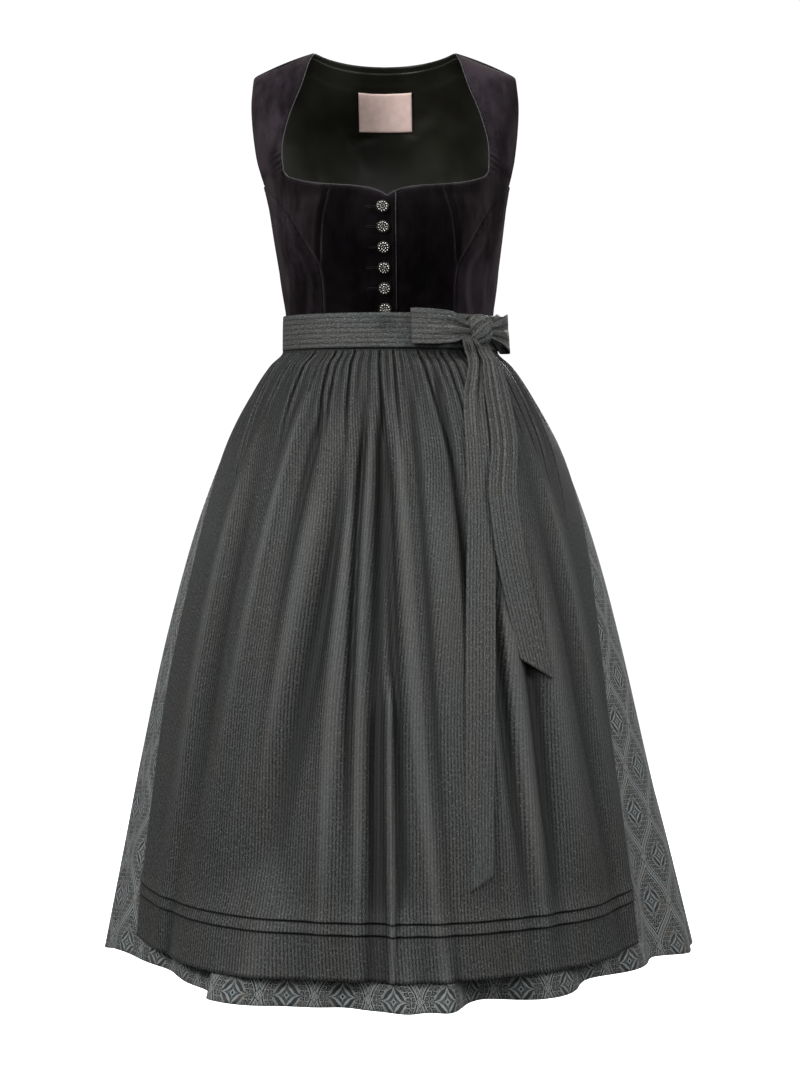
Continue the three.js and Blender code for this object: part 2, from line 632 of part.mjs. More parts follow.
// How far the apron's outer face stands off the form.
function apronLift(angle, z) {
  const below = easeBetween(-z, -bandBottomZ, -bandBottomZ + 20);
  const own = foldLift(apronFolds, angle, z, apronHemZ) + apronStandOff * below;
  const clear = foldLift(skirtFolds, angle, z, skirtHemZ) + lerp(2, 6, easeBetween(-z, 420, 900));
  return lerp(apronTopLift, Math.max(own, clear), below);
}

const apronTopZ = bandBottomZ - seamGap;
const apronRowDrops = [0, 0.016, 0.045, 0.1, 0.18, 0.3, 0.45, 0.62, 0.82];

// Each apron row is a share of the drop, or a distance above the hem with the tuck's rise there.
const apronRows = apronRowDrops.map((drop) => ({ drop, rise: 0 }));
for (const above of tuckAboveHem) {
  apronRows.push({ aboveHem: above, rise: tuck.rise });
  apronRows.push({ aboveHem: above - tuck.lip, rise: 0 });
}
apronRows.push({ aboveHem: 0, rise: 0 });

function apronPoint(row, column, offset) {
  const share = column / apronCells;
  const hem = apronHemAt(share);
  const z = row.drop === undefined ? hem + row.aboveHem : lerp(apronTopZ, hem, row.drop);
  const angle = apronEdgeAngle(z, share);
  const gather = gatherLift(column / columnsPerGather, Math.floor(column / columnsPerGather),
    z, bandBottomZ, 2.6, -600);
  const tuckRise = offset === 0 ? row.rise : 0;
  return figurePoint(angle, z, offset + apronLift(angle, z) + gather + tuckRise);
}

addPiece('apron_panel', sheet([...apronRows].reverse(), spread(0, apronCells, apronCells), apronPoint,
  0, apronCloth), material.apron, frontShift);

// Waistband and ties

const bandOffset = seamGap + tieCloth;
const overBand = bandOffset + seamGap + tieCloth;
const bandEnds = { right: -100, left: 98 };
const buttonBump = { width: 12, rise: 4.9, fadeBelow: 24 };

// The waist is a plain drum behind the band, eased out over the last button's lower rim.
function waistPoint(angle, z, offset) {
  const lean = (bandTopZ - z) / bandWidth;
  const point = figurePoint(angle, bandTopZ, offset + 0.7 + 1.4 * lean);
  const near = Math.abs(angle) < 30 ? Math.exp(-Math.pow((point.x - buttonX) / buttonBump.width, 2)) : 0;
  const high = 1 - easeBetween(-z, -bandTopZ, -bandTopZ + buttonBump.fadeBelow);
  point.y -= (buttonBump.rise + offset * 0.4) * near * high;
  point.z = z;
  return point;
}

const bandHeights = [bandBottomZ, bandBottomZ + bandWidth / 2, bandTopZ];

// Bands in two layers share their columns, so that their flat facets lie on each other.
const bandStep = 5;

function addBand(name, fromAngle, toAngle, surface) {
  const angles = [fromAngle];
  const first = Math.ceil((fromAngle + 1) / bandStep) * bandStep;
  for (let angle = first; angle < toAngle - 1; angle += bandStep) angles.push(angle);
  angles.push(toAngle);
  addPiece(name, sheet(bandHeights, angles, surface, 0, tieCloth), material.tie);
}

addBand('waistband', bandEnds.right, bandEnds.left,
  (z, angle, offset) => waistPoint(angle, z, offset + bandOffset));

// A tie lies on the bodice at the back and climbs over the end of the band at the side.
const knotAngles = { right: 46.4, left: 61.6 };
const backCrossing = { angle: 180, slant: 7 };

function tieLayer(angle) {
  const side = Math.abs(angle > 180 ? angle - 360 : angle);
  return lerp(overBand, bandOffset, easeBetween(side, 101, 116));
}
const tieSurface = (z, angle, offset) => waistPoint(angle, z, offset + tieLayer(angle));

// The two ties meet at the middle of the back along a slanted line.
function slantedEnd(angle, z) {
  const middle = (bandTopZ + bandBottomZ) / 2;
  const reach = 1 - easeBetween(Math.abs(angle - backCrossing.angle), 0, 30);
  return angle + (reach * backCrossing.slant * (z - middle)) / (bandWidth / 2);
}
const slantedTie = (z, angle, offset) => tieSurface(z, slantedEnd(angle, z), offset);

addBand('tie_left_front', -100, knotAngles.right, tieSurface);
addBand('tie_right_front', knotAngles.left, 110, tieSurface);
addBand('tie_right_back', 110.15, 179.9, slantedTie);
addBand('tie_left_back', 180.1, 259.85, slantedTie);

// Knot

const knot = { angle: 54, z: -343, width: 27, height: 31, depth: 13 };
const knotMiddle = waistPoint(knot.angle, knot.z, bandOffset + knot.depth / 2 - 0.4);
const knotFacing = radians(knot.angle - 12);

// Turns a knot-sized point (across, outward, up) to the place on the waist.
function atKnot(across, outward, up) {
  const x = across * Math.cos(knotFacing) + outward * Math.sin(knotFacing);
  const y = across * Math.sin(knotFacing) - outward * Math.cos(knotFacing);
  return new THREE.Vector3(knotMiddle.x + x, knotMiddle.y + y, knot.z + up);
}

function addKnot() {
  const ball = new THREE.SphereGeometry(1, 14, 10);
  const place = ball.getAttribute('position');
  for (let i = 0; i < place.count; i += 1) {
    const direction = new THREE.Vector3().fromBufferAttribute(place, i);
    const box = (value) => Math.sign(value) * Math.pow(Math.abs(value), 0.75);
    const crease = 1 - 0.06 * Math.cos(6 * Math.atan2(direction.y, direction.x));
    const point = drifted(atKnot(
      (knot.width / 2) * box(direction.x) * crease,
      (knot.depth / 2 - 0.4) * box(direction.z) * crease,
      (knot.height / 2) * box(direction.y),
    ));
    place.setXYZ(i, point.x, point.y, point.z);
  }
  ball.deleteAttribute('uv');
  addPiece('bow_knot', ball, material.tie);
}
addKnot();

// A strip of cloth along a path, upright or hanging. Each step gives a middle, a way across the
// strip, a half width on either side and a way out of its face.
function stripWall(steps, thickness, cells) {
  const shares = spread(0, 1, cells);
  const line = (step, shift) => shares.map((share) => {
    const point = step.from.clone().lerp(step.to, share);
    const arch = 4 * share * (1 - share) * (step.arch ?? 0);
    return point.addScaledVector(step.outward, arch + shift);
  });
  return clothWall(steps.map((step) => line(step, 0)), steps.map((step) => line(step, -thickness)));
}

// Loop of the bow: out from the knot against the band, round its far end and back over itself.
function loopSteps(loop) {
  const steps = [];
  const outline = loop.rows;
  const layers = [1, -1];
  for (const layer of layers) {
    const rows = layer > 0 ? outline : [...outline].reverse();
    for (const row of rows) {
      const fullness = layer > 0 ? row.innerOff : row.outerOff;
      const middle = (z) => waistPoint(row.angle, z, overBand + fullness);
      const rise = waistPoint(row.angle, knot.z, overBand + fullness + 1);
      const outward = rise.sub(middle(knot.z)).setZ(0).normalize().multiplyScalar(-layer);
      const edges = [middle(row.lowZ), middle(row.highZ)];
      if (outline[0].angle > outline[1].angle) edges.reverse();
      steps.push({ from: edges[0], to: edges[1], outward });
    }
  }
  return steps;
}

const loops = [
  {
    name: 'bow_loop_right',
    rows: [
      { angle: 47.4, lowZ: -351, highZ: -335, innerOff: 2.4, outerOff: 6.6 },
      { angle: 39, lowZ: -356, highZ: -328, innerOff: 2.6, outerOff: 11 },
      { angle: 31, lowZ: -358, highZ: -320, innerOff: 1.8, outerOff: 11 },
      { angle: 22, lowZ: -359, highZ: -317.5, innerOff: 1.7, outerOff: 9 },
      { angle: 14, lowZ: -359, highZ: -316.5, innerOff: 1.7, outerOff: 6.6 },
      { angle: 11.6, lowZ: -359, highZ: -316.5, innerOff: 2.6, outerOff: 5.2 },
    ],
  },
  {
    name: 'bow_loop_left',
    rows: [
      { angle: 60.8, lowZ: -351, highZ: -335, innerOff: 2.4, outerOff: 6.6 },
      { angle: 69, lowZ: -357, highZ: -328, innerOff: 2.6, outerOff: 15 },
      { angle: 76, lowZ: -362, highZ: -322, innerOff: 1.9, outerOff: 20 },
      { angle: 84, lowZ: -365, highZ: -319, innerOff: 2.2, outerOff: 21 },
      { angle: 91, lowZ: -366, highZ: -320, innerOff: 4.5, outerOff: 17.5 },
      { angle: 94, lowZ: -366, highZ: -320.5, innerOff: 8.5, outerOff: 13 },
    ],
  },
];
for (const loop of loops) {
  const steps = loopSteps(loop);
  addPiece(loop.name, stripWall(steps, tieCloth, 3), material.tie);
}

// Hanging ends, laid on the apron. middle is the angle of the strip's middle line.
const tails = [
  {
    name: 'tie_end_long',
    layer: 0,
    rows: [
      { z: -359, middle: 53, halfWidth: 9, stand: 9.5 },
      { z: -372, middle: 50.5, halfWidth: 11, stand: 15 },
      { z: -392, middle: 43, halfWidth: 13.5, stand: 13 },
      { z: -420, middle: 36.5, halfWidth: 15.5, stand: 11 },
      { z: -470, middle: 29.8, halfWidth: 17, stand: 13 },
      { z: -540, middle: 25.6, halfWidth: 18, stand: 13.5 },
      { z: -640, middle: 21.8, halfWidth: 18.5, stand: 14 },
      { z: -760, middle: 19, halfWidth: 18.5, stand: 14 },
      { z: -880, middle: 16.8, halfWidth: 17.5, stand: 12 },
      { z: -958, middle: 15.4, halfWidth: 16.5, stand: 10 },
    ],
    slantEnd: 18,
  },
  {
    name: 'tie_end_short',
    layer: 2.2,
    rows: [
      { z: -359, middle: 56, halfWidth: 8, stand: 10.6 },
      { z: -372, middle: 56, halfWidth: 10, stand: 18 },
      { z: -392, middle: 51.5, halfWidth: 13.5, stand: 16 },
      { z: -420, middle: 45.5, halfWidth: 16.5, stand: 15 },
      { z: -470, middle: 38.6, halfWidth: 19, stand: 15.5 },
      { z: -540, middle: 32.2, halfWidth: 20, stand: 15.5 },
      { z: -600, middle: 31.2, halfWidth: 20.5, stand: 14.5 },
      { z: -660, middle: 32.2, halfWidth: 21, stand: 12 },
      { z: -722, middle: 33.6, halfWidth: 21, stand: 12 },
    ],
    slantEnd: -24,
  },
];

function tailSteps(tail) {
  return [...tail.rows].reverse().map((row, i) => {
    const stand = row.stand + tail.layer;
    const slant = i === 0 ? tail.slantEnd : 0;
    const edge = (side, drop) => {
      const middle = figurePoint(row.middle, row.z - drop, stand);
      const across = figurePoint(row.middle + 1, row.z - drop, stand).sub(middle).setZ(0).normalize();
      return middle.addScaledVector(across, side * row.halfWidth);
    };
    const from = edge(-1, Math.max(0, slant));
    const to = edge(1, Math.max(0, -slant));
    const outward = figurePoint(row.middle, row.z, 1).sub(figurePoint(row.middle, row.z));
    return { from, to, outward, arch: 1 };
  });
}
for (const tail of tails) {
  addPiece(tail.name, stripWall(tailSteps(tail), tieCloth, 4), material.tie, frontShift);
}

// Domed metal buttons down the lap
function addButton(number) {
  const z = firstButtonZ - buttonPitch * number;
  const radius = buttonDiameter / 2;
  const profile = [
    [0, 0], [radius * 0.8, 0], [radius, 0.9], [radius, 1.7],
    [radius * 0.84, 3], [radius * 0.48, buttonHeight - 0.5], [0, buttonHeight],
  ].map(([r, h]) => new THREE.Vector2(r, h));
  const geometry = new THREE.LatheGeometry(profile, 12);
  const angle = THREE.MathUtils.radToDeg(Math.asin(buttonX / frontRadius));
  const foot = drifted(figurePoint(angle, z, seamGap + 0.2));
  const rise = drifted(figurePoint(angle, z + radius)).sub(drifted(figurePoint(angle, z - radius)));
  const way = new THREE.Vector3(1, 0, 0).cross(rise).normalize();
  const button = addPiece(`button_${number + 1}`, geometry, material.pewter);
  button.quaternion.setFromUnitVectors(new THREE.Vector3(0, 1, 0), way);
  button.position.copy(foot).y -= seamGap / 2;
}
for (let number = 0; number < buttonCount; number += 1) addButton(number);

export default dirndl;
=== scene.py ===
import math

import bmesh
import bpy
import numpy as np
from mathutils import Matrix, Vector


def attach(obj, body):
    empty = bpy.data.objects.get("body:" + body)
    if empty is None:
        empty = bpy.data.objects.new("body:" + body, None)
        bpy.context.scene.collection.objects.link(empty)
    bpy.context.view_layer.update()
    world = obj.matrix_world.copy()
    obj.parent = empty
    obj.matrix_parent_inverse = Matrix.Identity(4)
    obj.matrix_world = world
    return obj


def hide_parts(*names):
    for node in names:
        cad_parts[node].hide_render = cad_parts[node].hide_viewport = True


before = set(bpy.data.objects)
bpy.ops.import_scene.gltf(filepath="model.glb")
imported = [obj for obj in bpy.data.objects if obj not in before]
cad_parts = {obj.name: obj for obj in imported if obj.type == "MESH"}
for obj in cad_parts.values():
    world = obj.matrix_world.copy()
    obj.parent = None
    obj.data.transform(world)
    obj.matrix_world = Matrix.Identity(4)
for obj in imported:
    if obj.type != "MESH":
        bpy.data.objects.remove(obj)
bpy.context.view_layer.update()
print("frame loaded:", len(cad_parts), "nodes")

# Sizes below are millimetres in the frame's axes, and go to metres when a mesh is made.
# The front faces -Y and angles run from the middle of the front towards the wearer's left.
mm = 0.001

seam = dict(gap=0.3, halfAngle=0.08, underarmZ=-166, waistZ=-340)
cloth = dict(bodice=1.8, lining=0.8, skirt=1.3, apron=1.1, tie=1.1, label=0.7)
band = dict(topZ=-321, width=42, right=-100, left=98)
band["bottomZ"] = band["topZ"] - band["width"]
hem = dict(skirtZ=-1096, apronZ=-1064)


def table(columns, rows):
    # columns by name, each as an array
    return dict(zip(columns.split(), np.array(rows, dtype=float).T))


# The filled-out form: half width, depths, how far the flanks draw in, and its sideways drift
figure = table("z halfWidth front back taper drift", [
    (-1100, 360, 331, 336, 1.5, 18),
    (-959, 330.6, 298, 306, 1.44, 15.3),
    (-861, 309.3, 272, 283, 1.38, 12.4),
    (-715, 277, 232, 247, 1.3, 10.6),
    (-593, 244, 194, 212, 1.2, 10.3),
    (-495, 207, 157, 173, 1.1, 9.6),
    (-446, 183, 135, 147, 1.05, 8.7),
    (-398, 154, 110, 116, 1, 7.9),
    (-378, 139, 98.5, 101, 1, 7.4),
    (-365, 127.2, 91.4, 84, 1, 7.1),
    (-340, 125.4, 90, 83, 1, 6.6),
    (-320, 126.6, 92.5, 83.5, 1, 6.3),
    (-300, 129.2, 98, 86, 1, 5.9),
    (-270, 133, 105, 90.5, 1, 5.4),
    (-233, 137.9, 112.5, 95.5, 1, 4.6),
    (-196, 143.4, 114, 100, 1, 3.9),
    (-178, 147, 110, 101, 1, 3.4),
    (-160, 150.7, 105, 101, 1, 2.7),
    (-123, 158, 92, 97, 1, 1.4),
    (10, 160, 60, 60, 1, 0),
])
bust = dict(x=78, z=-214, spreadX=40, spreadUp=30, spreadDown=46, rise=9)


def ease(x, start, end):
    t = np.clip((x - start) / (end - start), 0, 1)
    return t * t * (3 - 2 * t)


def lerp(a, b, t):
    return a + (b - a) * t


def readTable(source, key, column, place):
    # smooth curve through the rows, with no overshoot
    keys, values = source[key], source[column]
    if keys[0] > keys[-1]:
        keys, values = keys[::-1], values[::-1]
    place = np.clip(place, keys[0], keys[-1])
    slopes = np.diff(values) / np.diff(keys)
    before, after = slopes[:-1], slopes[1:]
    agree = before * after > 0
    bends = np.where(agree, 2 * before * after / np.where(agree, before + after, 1), 0)
    tangents = np.concatenate([slopes[:1], bends, slopes[-1:]])
    i = np.clip(np.searchsorted(keys, place, side="right") - 1, 0, len(keys) - 2)
    span = keys[i + 1] - keys[i]
    t = (place - keys[i]) / span
    t2, t3 = t * t, t * t * t
    return ((2 * t3 - 3 * t2 + 1) * values[i] + (t3 - 2 * t2 + t) * span * tangents[i]
            + (3 * t2 - 2 * t3) * values[i + 1] + (t3 - t2) * span * tangents[i + 1])


def unit(vectors):
    return vectors / np.maximum(np.linalg.norm(vectors, axis=-1, keepdims=True), 1e-9)


def figureBase(angle, z):
    angle, z = np.broadcast_arrays(np.asarray(angle, float), np.asarray(z, float))
    turn = np.radians(angle)
    inFront = np.cos(turn) > 0
    depth = np.where(inFront, -readTable(figure, "z", "front", z), readTable(figure, "z", "back", z))
    along = np.abs(np.cos(turn)) ** readTable(figure, "z", "taper", z)
    return np.stack([readTable(figure, "z", "halfWidth", z) * np.sin(turn), depth * along, z], axis=-1)


def bustRise(point):
    across = (np.abs(point[..., 0]) - bust["x"]) / bust["spreadX"]
    spread = np.where(point[..., 2] > bust["z"], bust["spreadUp"], bust["spreadDown"])
    up = (point[..., 2] - bust["z"]) / spread
    return np.where(point[..., 1] > 0, 0, bust["rise"] * np.exp(-across * across - up * up))


def figurePoint(angle, z, offset=0.0):
    # on the form, moved out level
    step = 0.5
    point = figureBase(angle, z)
    turn = figureBase(angle + step, z) - figureBase(angle - step, z)
    rise = figureBase(angle, z + step) - figureBase(angle, z - step)
    outward = np.cross(turn, rise)
    outward[..., 2] = 0
    return point + unit(outward) * np.asarray(offset + bustRise(point))[..., None]


def mirrored(points):
    return points * np.array([-1, 1, 1])


def drifted(points):
    moved = np.array(points, float)
    moved[..., 0] += readTable(figure, "z", "drift", moved[..., 2])
    return moved


def catmullRom(controls, t):
    # controls is a list of points or of arrays of points, t runs from 0 to 1 through all of them
    controls = np.array([np.broadcast_to(c, np.shape(t) + (3,)) for c in controls], float)
    first = 2 * controls[:1] - controls[1:2]
    last = 2 * controls[-1:] - controls[-2:-1]
    padded = np.concatenate([first, controls, last])
    spans = len(controls) - 1
    place = np.clip(t, 0, 1) * spans
    i = np.clip(np.floor(place).astype(int), 0, spans - 1)
    w = (place - i)[..., None]
    p = [np.take_along_axis(padded, (i + k)[None, ..., None], axis=0)[0] for k in range(4)]
    gap = [np.maximum(np.sum((p[k + 1] - p[k]) ** 2, axis=-1, keepdims=True) ** 0.25, 1e-3) for k in range(3)]
    leave = gap[1] * ((p[1] - p[0]) / gap[0] - (p[2] - p[0]) / (gap[0] + gap[1]) + (p[2] - p[1]) / gap[1])
    arrive = gap[1] * ((p[2] - p[1]) / gap[1] - (p[3] - p[1]) / (gap[1] + gap[2]) + (p[3] - p[2]) / gap[2])
    return (p[1] + leave * w + (-3 * p[1] + 3 * p[2] - 2 * leave - arrive) * w ** 2
            + (2 * p[1] - 2 * p[2] + leave + arrive) * w ** 3)


def stretch(*spans):
    # even steps in each span: (from, to, steps)
    values = [np.array([spans[0][0]], float)]
    for start, end, steps in spans:
        values.append(np.linspace(start, end, steps + 1)[1:])
    return np.concatenate(values)


def outwardOf(points):
    across = np.gradient(points, axis=1)
    rise = np.gradient(points, axis=0)
    return unit(np.cross(across, rise))


def lengthsAcross(points):
    steps = np.linalg.norm(np.diff(points, axis=1), axis=-1)
    return np.concatenate([np.zeros((len(points), 1)), np.cumsum(steps, axis=1)], axis=1)


def lengthsUp(points):
    steps = np.linalg.norm(np.diff(points, axis=0), axis=-1)
    return np.concatenate([np.zeros((1, points.shape[1])), np.cumsum(steps, axis=0)], axis=0)


def patchArea(points):
    # square metres of cloth
    across = np.diff(points, axis=1)[:-1]
    up = np.diff(points, axis=0)[:, :-1]
    return float(np.linalg.norm(np.cross(across, up), axis=-1).sum()) * 1e-6


def edgeDistance(points, side):
    across, up = lengthsAcross(points), lengthsUp(points)
    return {"start": across, "end": across[:, -1:] - across, "low": up, "high": up[-1:] - up}[side]


def rolledEdges(points, sides, depth=1.1, width=2.6):
    sink = np.zeros(points.shape[:2])
    for side in sides.split():
        sink = np.maximum(sink, depth * np.exp(-(edgeDistance(points, side) / width) ** 2))
    return -sink


def wander(x, seed, octaves=3):
    # smooth unevenness between -1 and 1 along a line, the same each run
    total = 0
    for k in range(octaves):
        bend = 1.3 * np.sin(x * 0.37 * (k + 1) + seed)
        total = total + np.sin(x * (1.7 ** k) + seed * (2.3 + k) + bend) / (k + 1)
    return total / 1.8


def creaseField(places, creases):
    # creases are soft troughs or ridges along straight lines in the two coordinates given
    x, y = places
    lift = np.zeros(np.broadcast(x, y).shape)
    for c in creases:
        dx, dy = c["to"][0] - c["at"][0], c["to"][1] - c["at"][1]
        size = math.hypot(dx, dy)
        along = ((x - c["at"][0]) * dx + (y - c["at"][1]) * dy) / size
        bow = c.get("bow", 0) * 4 * np.clip(along / size, 0, 1) * (1 - np.clip(along / size, 0, 1))
        away = (-(x - c["at"][0]) * dy + (y - c["at"][1]) * dx) / size - bow
        ends = ease(along, -0.15 * size, 0.25 * size) * (1 - ease(along, 0.7 * size, 1.15 * size))
        lift += c["lift"] * ends * np.exp(-(away / c["width"]) ** 2)
    return lift


# Materials

def nodeMath(tree, operation, *values):
    node = tree.nodes.new("ShaderNodeMath")
    node.operation = operation
    for socket, value in zip(node.inputs, values):
        if isinstance(value, (int, float)):
            socket.default_value = value
        else:
            tree.links.new(value, socket)
    return node.outputs[0]


def nodeMix(tree, factor, first, second):
    node = tree.nodes.new("ShaderNodeMix")
    node.data_type = "RGBA"
    for socket, value in ((node.inputs[0], factor), (node.inputs[6], first), (node.inputs[7], second)):
        if isinstance(value, (int, float)):
            socket.default_value = value
        elif isinstance(value, tuple):
            socket.default_value = (*value, 1)
        else:
            tree.links.new(value, socket)
    return node.outputs[2]


def nodeNoise(tree, vector, scale, detail=3.0, roughness=0.5, stretchBy=None):
    if stretchBy:
        mapping = tree.nodes.new("ShaderNodeMapping")
        mapping.inputs["Scale"].default_value = stretchBy
        tree.links.new(vector, mapping.inputs["Vector"])
        vector = mapping.outputs["Vector"]
    node = tree.nodes.new("ShaderNodeTexNoise")
    node.inputs["Scale"].default_value = scale
    node.inputs["Detail"].default_value = detail
    node.inputs["Roughness"].default_value = roughness
    tree.links.new(vector, node.inputs["Vector"])
    return node.outputs["Fac"]


def nodeRange(tree, value, low, high, toLow=0.0, toHigh=1.0):
    node = tree.nodes.new("ShaderNodeMapRange")
    node.interpolation_type = "SMOOTHSTEP"
    for name, number in (("From Min", low), ("From Max", high), ("To Min", toLow), ("To Max", toHigh)):
        node.inputs[name].default_value = number
    tree.links.new(value, node.inputs["Value"])
    return node.outputs["Result"]


def nodeBump(tree, height, strength, distance, normal=None):
    node = tree.nodes.new("ShaderNodeBump")
    node.inputs["Strength"].default_value = strength
    node.inputs["Distance"].default_value = distance
    tree.links.new(height, node.inputs["Height"])
    if normal:
        tree.links.new(normal, node.inputs["Normal"])
    return node.outputs["Normal"]


def finish(tree, shader, tone, relief, strength, distance, under=None):
    # the colour and the fine relief of a material
    tree.links.new(tone, shader.inputs["Base Color"])
    tree.links.new(nodeBump(tree, relief, strength, distance, under), shader.inputs["Normal"])


def startMaterial(name, **settings):
    material = bpy.data.materials.new(name)
    material.use_nodes = True
    tree = material.node_tree
    shader = tree.nodes["Principled BSDF"]
    for socket, value in settings.items():
        shader.inputs[socket.replace("_", " ")].default_value = value
    coordinates = tree.nodes.new("ShaderNodeTexCoord")
    return material, tree, shader, coordinates.outputs["Object"], coordinates.outputs["UV"]


def splitUv(tree, uv):
    node = tree.nodes.new("ShaderNodeSeparateXYZ")
    tree.links.new(uv, node.inputs[0])
    return node.outputs[0], node.outputs[1]


# the two palest colours are painted sheen: one for light falling on straps and sides where the mesh marks it,
# and rim for surfaces turned from the view
velvetLook = dict(deep=(0.0004, 0.0003, 0.00035), worn=(0.0019, 0.0014, 0.0016),
                  pileTip=(0.005, 0.0037, 0.0042), paintedSheen=(0.0285, 0.0225, 0.028), rim=(0.037, 0.03, 0.033),
                  tint=(0.85, 0.74, 0.84, 1), sheen=0.035, sheenRoughness=0.24, napPatch=13, pile=1500)


def makeVelvet():
    # dark where the pile faces out, with painted sheen making it paler where the mesh marks light on straps
    # and sides, and where the surface turns from the view
    look = velvetLook
    material, tree, shader, place, uv = startMaterial(
        "velvet", Roughness=0.9, Specular_IOR_Level=0.02, Sheen_Weight=look["sheen"],
        Sheen_Roughness=look["sheenRoughness"], Sheen_Tint=look["tint"])
    # the mesh's share of painted sheen
    paintedSheen = tree.nodes.new("ShaderNodeAttribute")
    paintedSheen.attribute_name = "napAndSheen"
    turned = tree.nodes.new("ShaderNodeLayerWeight")
    turned.inputs["Blend"].default_value = 0.5
    patches = nodeNoise(tree, place, look["napPatch"], 4, 0.6, (1, 1, 0.5))
    streaks = nodeNoise(tree, place, 70, 3, 0.6, (1, 1, 0.3))
    pile = nodeNoise(tree, place, look["pile"], 2, 0.6)
    broad = nodeMath(tree, "MULTIPLY", patches, 0.7)
    narrow = nodeMath(tree, "MULTIPLY", streaks, 0.3)
    napAndSheen = nodeMath(tree, "ADD", broad, narrow)
    shade = nodeMix(tree, nodeRange(tree, napAndSheen, 0.42, 0.66), look["deep"], look["worn"])
    uneven = nodeRange(tree, napAndSheen, 0.36, 0.62, 0.22, 1.1)
    # painted sheen: paler where the mesh attribute marks light falling on the straps and sides
    shade = nodeMix(tree, nodeMath(tree, "MULTIPLY", paintedSheen.outputs["Fac"], uneven), shade, look["paintedSheen"])
    # painted sheen: paler where the surface turns from the view
    rim = nodeMath(tree, "MULTIPLY", nodeRange(tree, turned.outputs["Facing"], 0.12, 0.62), uneven)
    shade = nodeMix(tree, rim, shade, look["rim"])
    grain = nodeMix(tree, nodeRange(tree, pile, 0.3, 0.7, 0.0, 0.22), shade, look["pileTip"])
    finish(tree, shader, grain, pile, 0.35, 0.0005, nodeBump(tree, napAndSheen, 0.8, 0.008))
    return material


liningLook = dict(dark=(0.007, 0.0068, 0.0047), light=(0.0125, 0.0122, 0.0088), threads=1400)
labelLook = dict(dark=(0.76, 0.56, 0.5), light=(0.86, 0.65, 0.59), weft=(0.44, 0.33, 0.295), warpPitch=0.0007,
                 weftPitch=0.0005)
pipingLook = dict(dark=(0.009, 0.009, 0.0105), light=(0.026, 0.026, 0.029), twill=4200)
pewterLook = dict(recess=(0.0015, 0.0013, 0.001), bead=(0.95, 0.91, 0.84), worn=(0.08, 0.072, 0.062))
threadLook = dict(dark=(0.0018, 0.0014, 0.0018), light=(0.006, 0.005, 0.006))


def makeLining():
    look = liningLook
    material, tree, shader, place, uv = startMaterial(
        "lining", Roughness=0.4, Specular_IOR_Level=0.16, Sheen_Weight=0.04, Sheen_Roughness=0.4)
    cloud = nodeNoise(tree, place, 13, 3, 0.5)
    weave = nodeNoise(tree, place, look["threads"], 2, 0.5, (1, 1, 0.25))
    tone = nodeMix(tree, nodeRange(tree, cloud, 0.35, 0.65), look["dark"], look["light"])
    tree.links.new(nodeRange(tree, cloud, 0.3, 0.7, 0.36, 0.52), shader.inputs["Roughness"])
    finish(tree, shader, tone, weave, 0.2, 0.0003, nodeBump(tree, cloud, 0.25, 0.004))
    return material


def makeLabel():
    look = labelLook
    material, tree, shader, place, uv = startMaterial("label", Roughness=0.62, Sheen_Weight=0.2)
    u, v = splitUv(tree, uv)
    warp = nodeMath(tree, "SINE", nodeMath(tree, "MULTIPLY", u, 2 * math.pi / look["warpPitch"]))
    weft = nodeMath(tree, "SINE", nodeMath(tree, "MULTIPLY", v, 2 * math.pi / look["weftPitch"]))
    weave = nodeMath(tree, "MULTIPLY", warp, weft)
    cloud = nodeNoise(tree, uv, 90, 3, 0.5)
    tone = nodeMix(tree, nodeRange(tree, cloud, 0.3, 0.7), look["dark"], look["light"])
    tone = nodeMix(tree, nodeRange(tree, weave, -1, 1, 0, 0.25), tone, look["weft"])
    finish(tree, shader, tone, weave, 0.25, 0.0002)
    return material


def makePiping():
    look = pipingLook
    material, tree, shader, place, uv = startMaterial(
        "piping", Roughness=0.42, Specular_IOR_Level=0.35, Sheen_Weight=0.12)
    u, v = splitUv(tree, uv)
    around = nodeMath(tree, "MULTIPLY", u, 2 * math.pi)
    along = nodeMath(tree, "MULTIPLY", v, look["twill"])
    twill = nodeMath(tree, "SINE", nodeMath(tree, "ADD", around, along))
    cloud = nodeNoise(tree, place, 55, 3, 0.5)
    tone = nodeMix(tree, nodeRange(tree, cloud, 0.3, 0.7), look["dark"], look["light"])
    finish(tree, shader, tone, twill, 0.15, 0.0002)
    return material


# A lattice of ogee bands round four-pointed medallions, in metres of cloth. Medallions are
# pairs of radii (across, along) from the outside inwards, with how pointed each outline is.
jacquardLook = dict(
    width=0.063, height=0.112, aboveHem=0.012, weave=0.0004, dark=(0.006, 0.0066, 0.007),
    shade=(0.027, 0.031, 0.033), ground=(0.088, 0.092, 0.091), light=(0.222, 0.234, 0.231),
    blue=(0.05, 0.062, 0.068), warm=(0.14, 0.118, 0.096), bandHalf=0.0036, curlPitch=0.0056,
    curlInset=0.0078, curlRadius=0.0017, outline=(0.0262, 0.0286, 0.58), darkBand=(0.0246, 0.0268, 0.575),
    ringEdge=(0.0194, 0.0214, 0.53), ring=(0.0184, 0.0203, 0.52), darkRing=(0.0132, 0.0148, 0.47),
    core=(0.012, 0.0134, 0.46), heart=(0.0054, 0.006, 0.56), seed=(0.0015, 0.0017, 1.0))


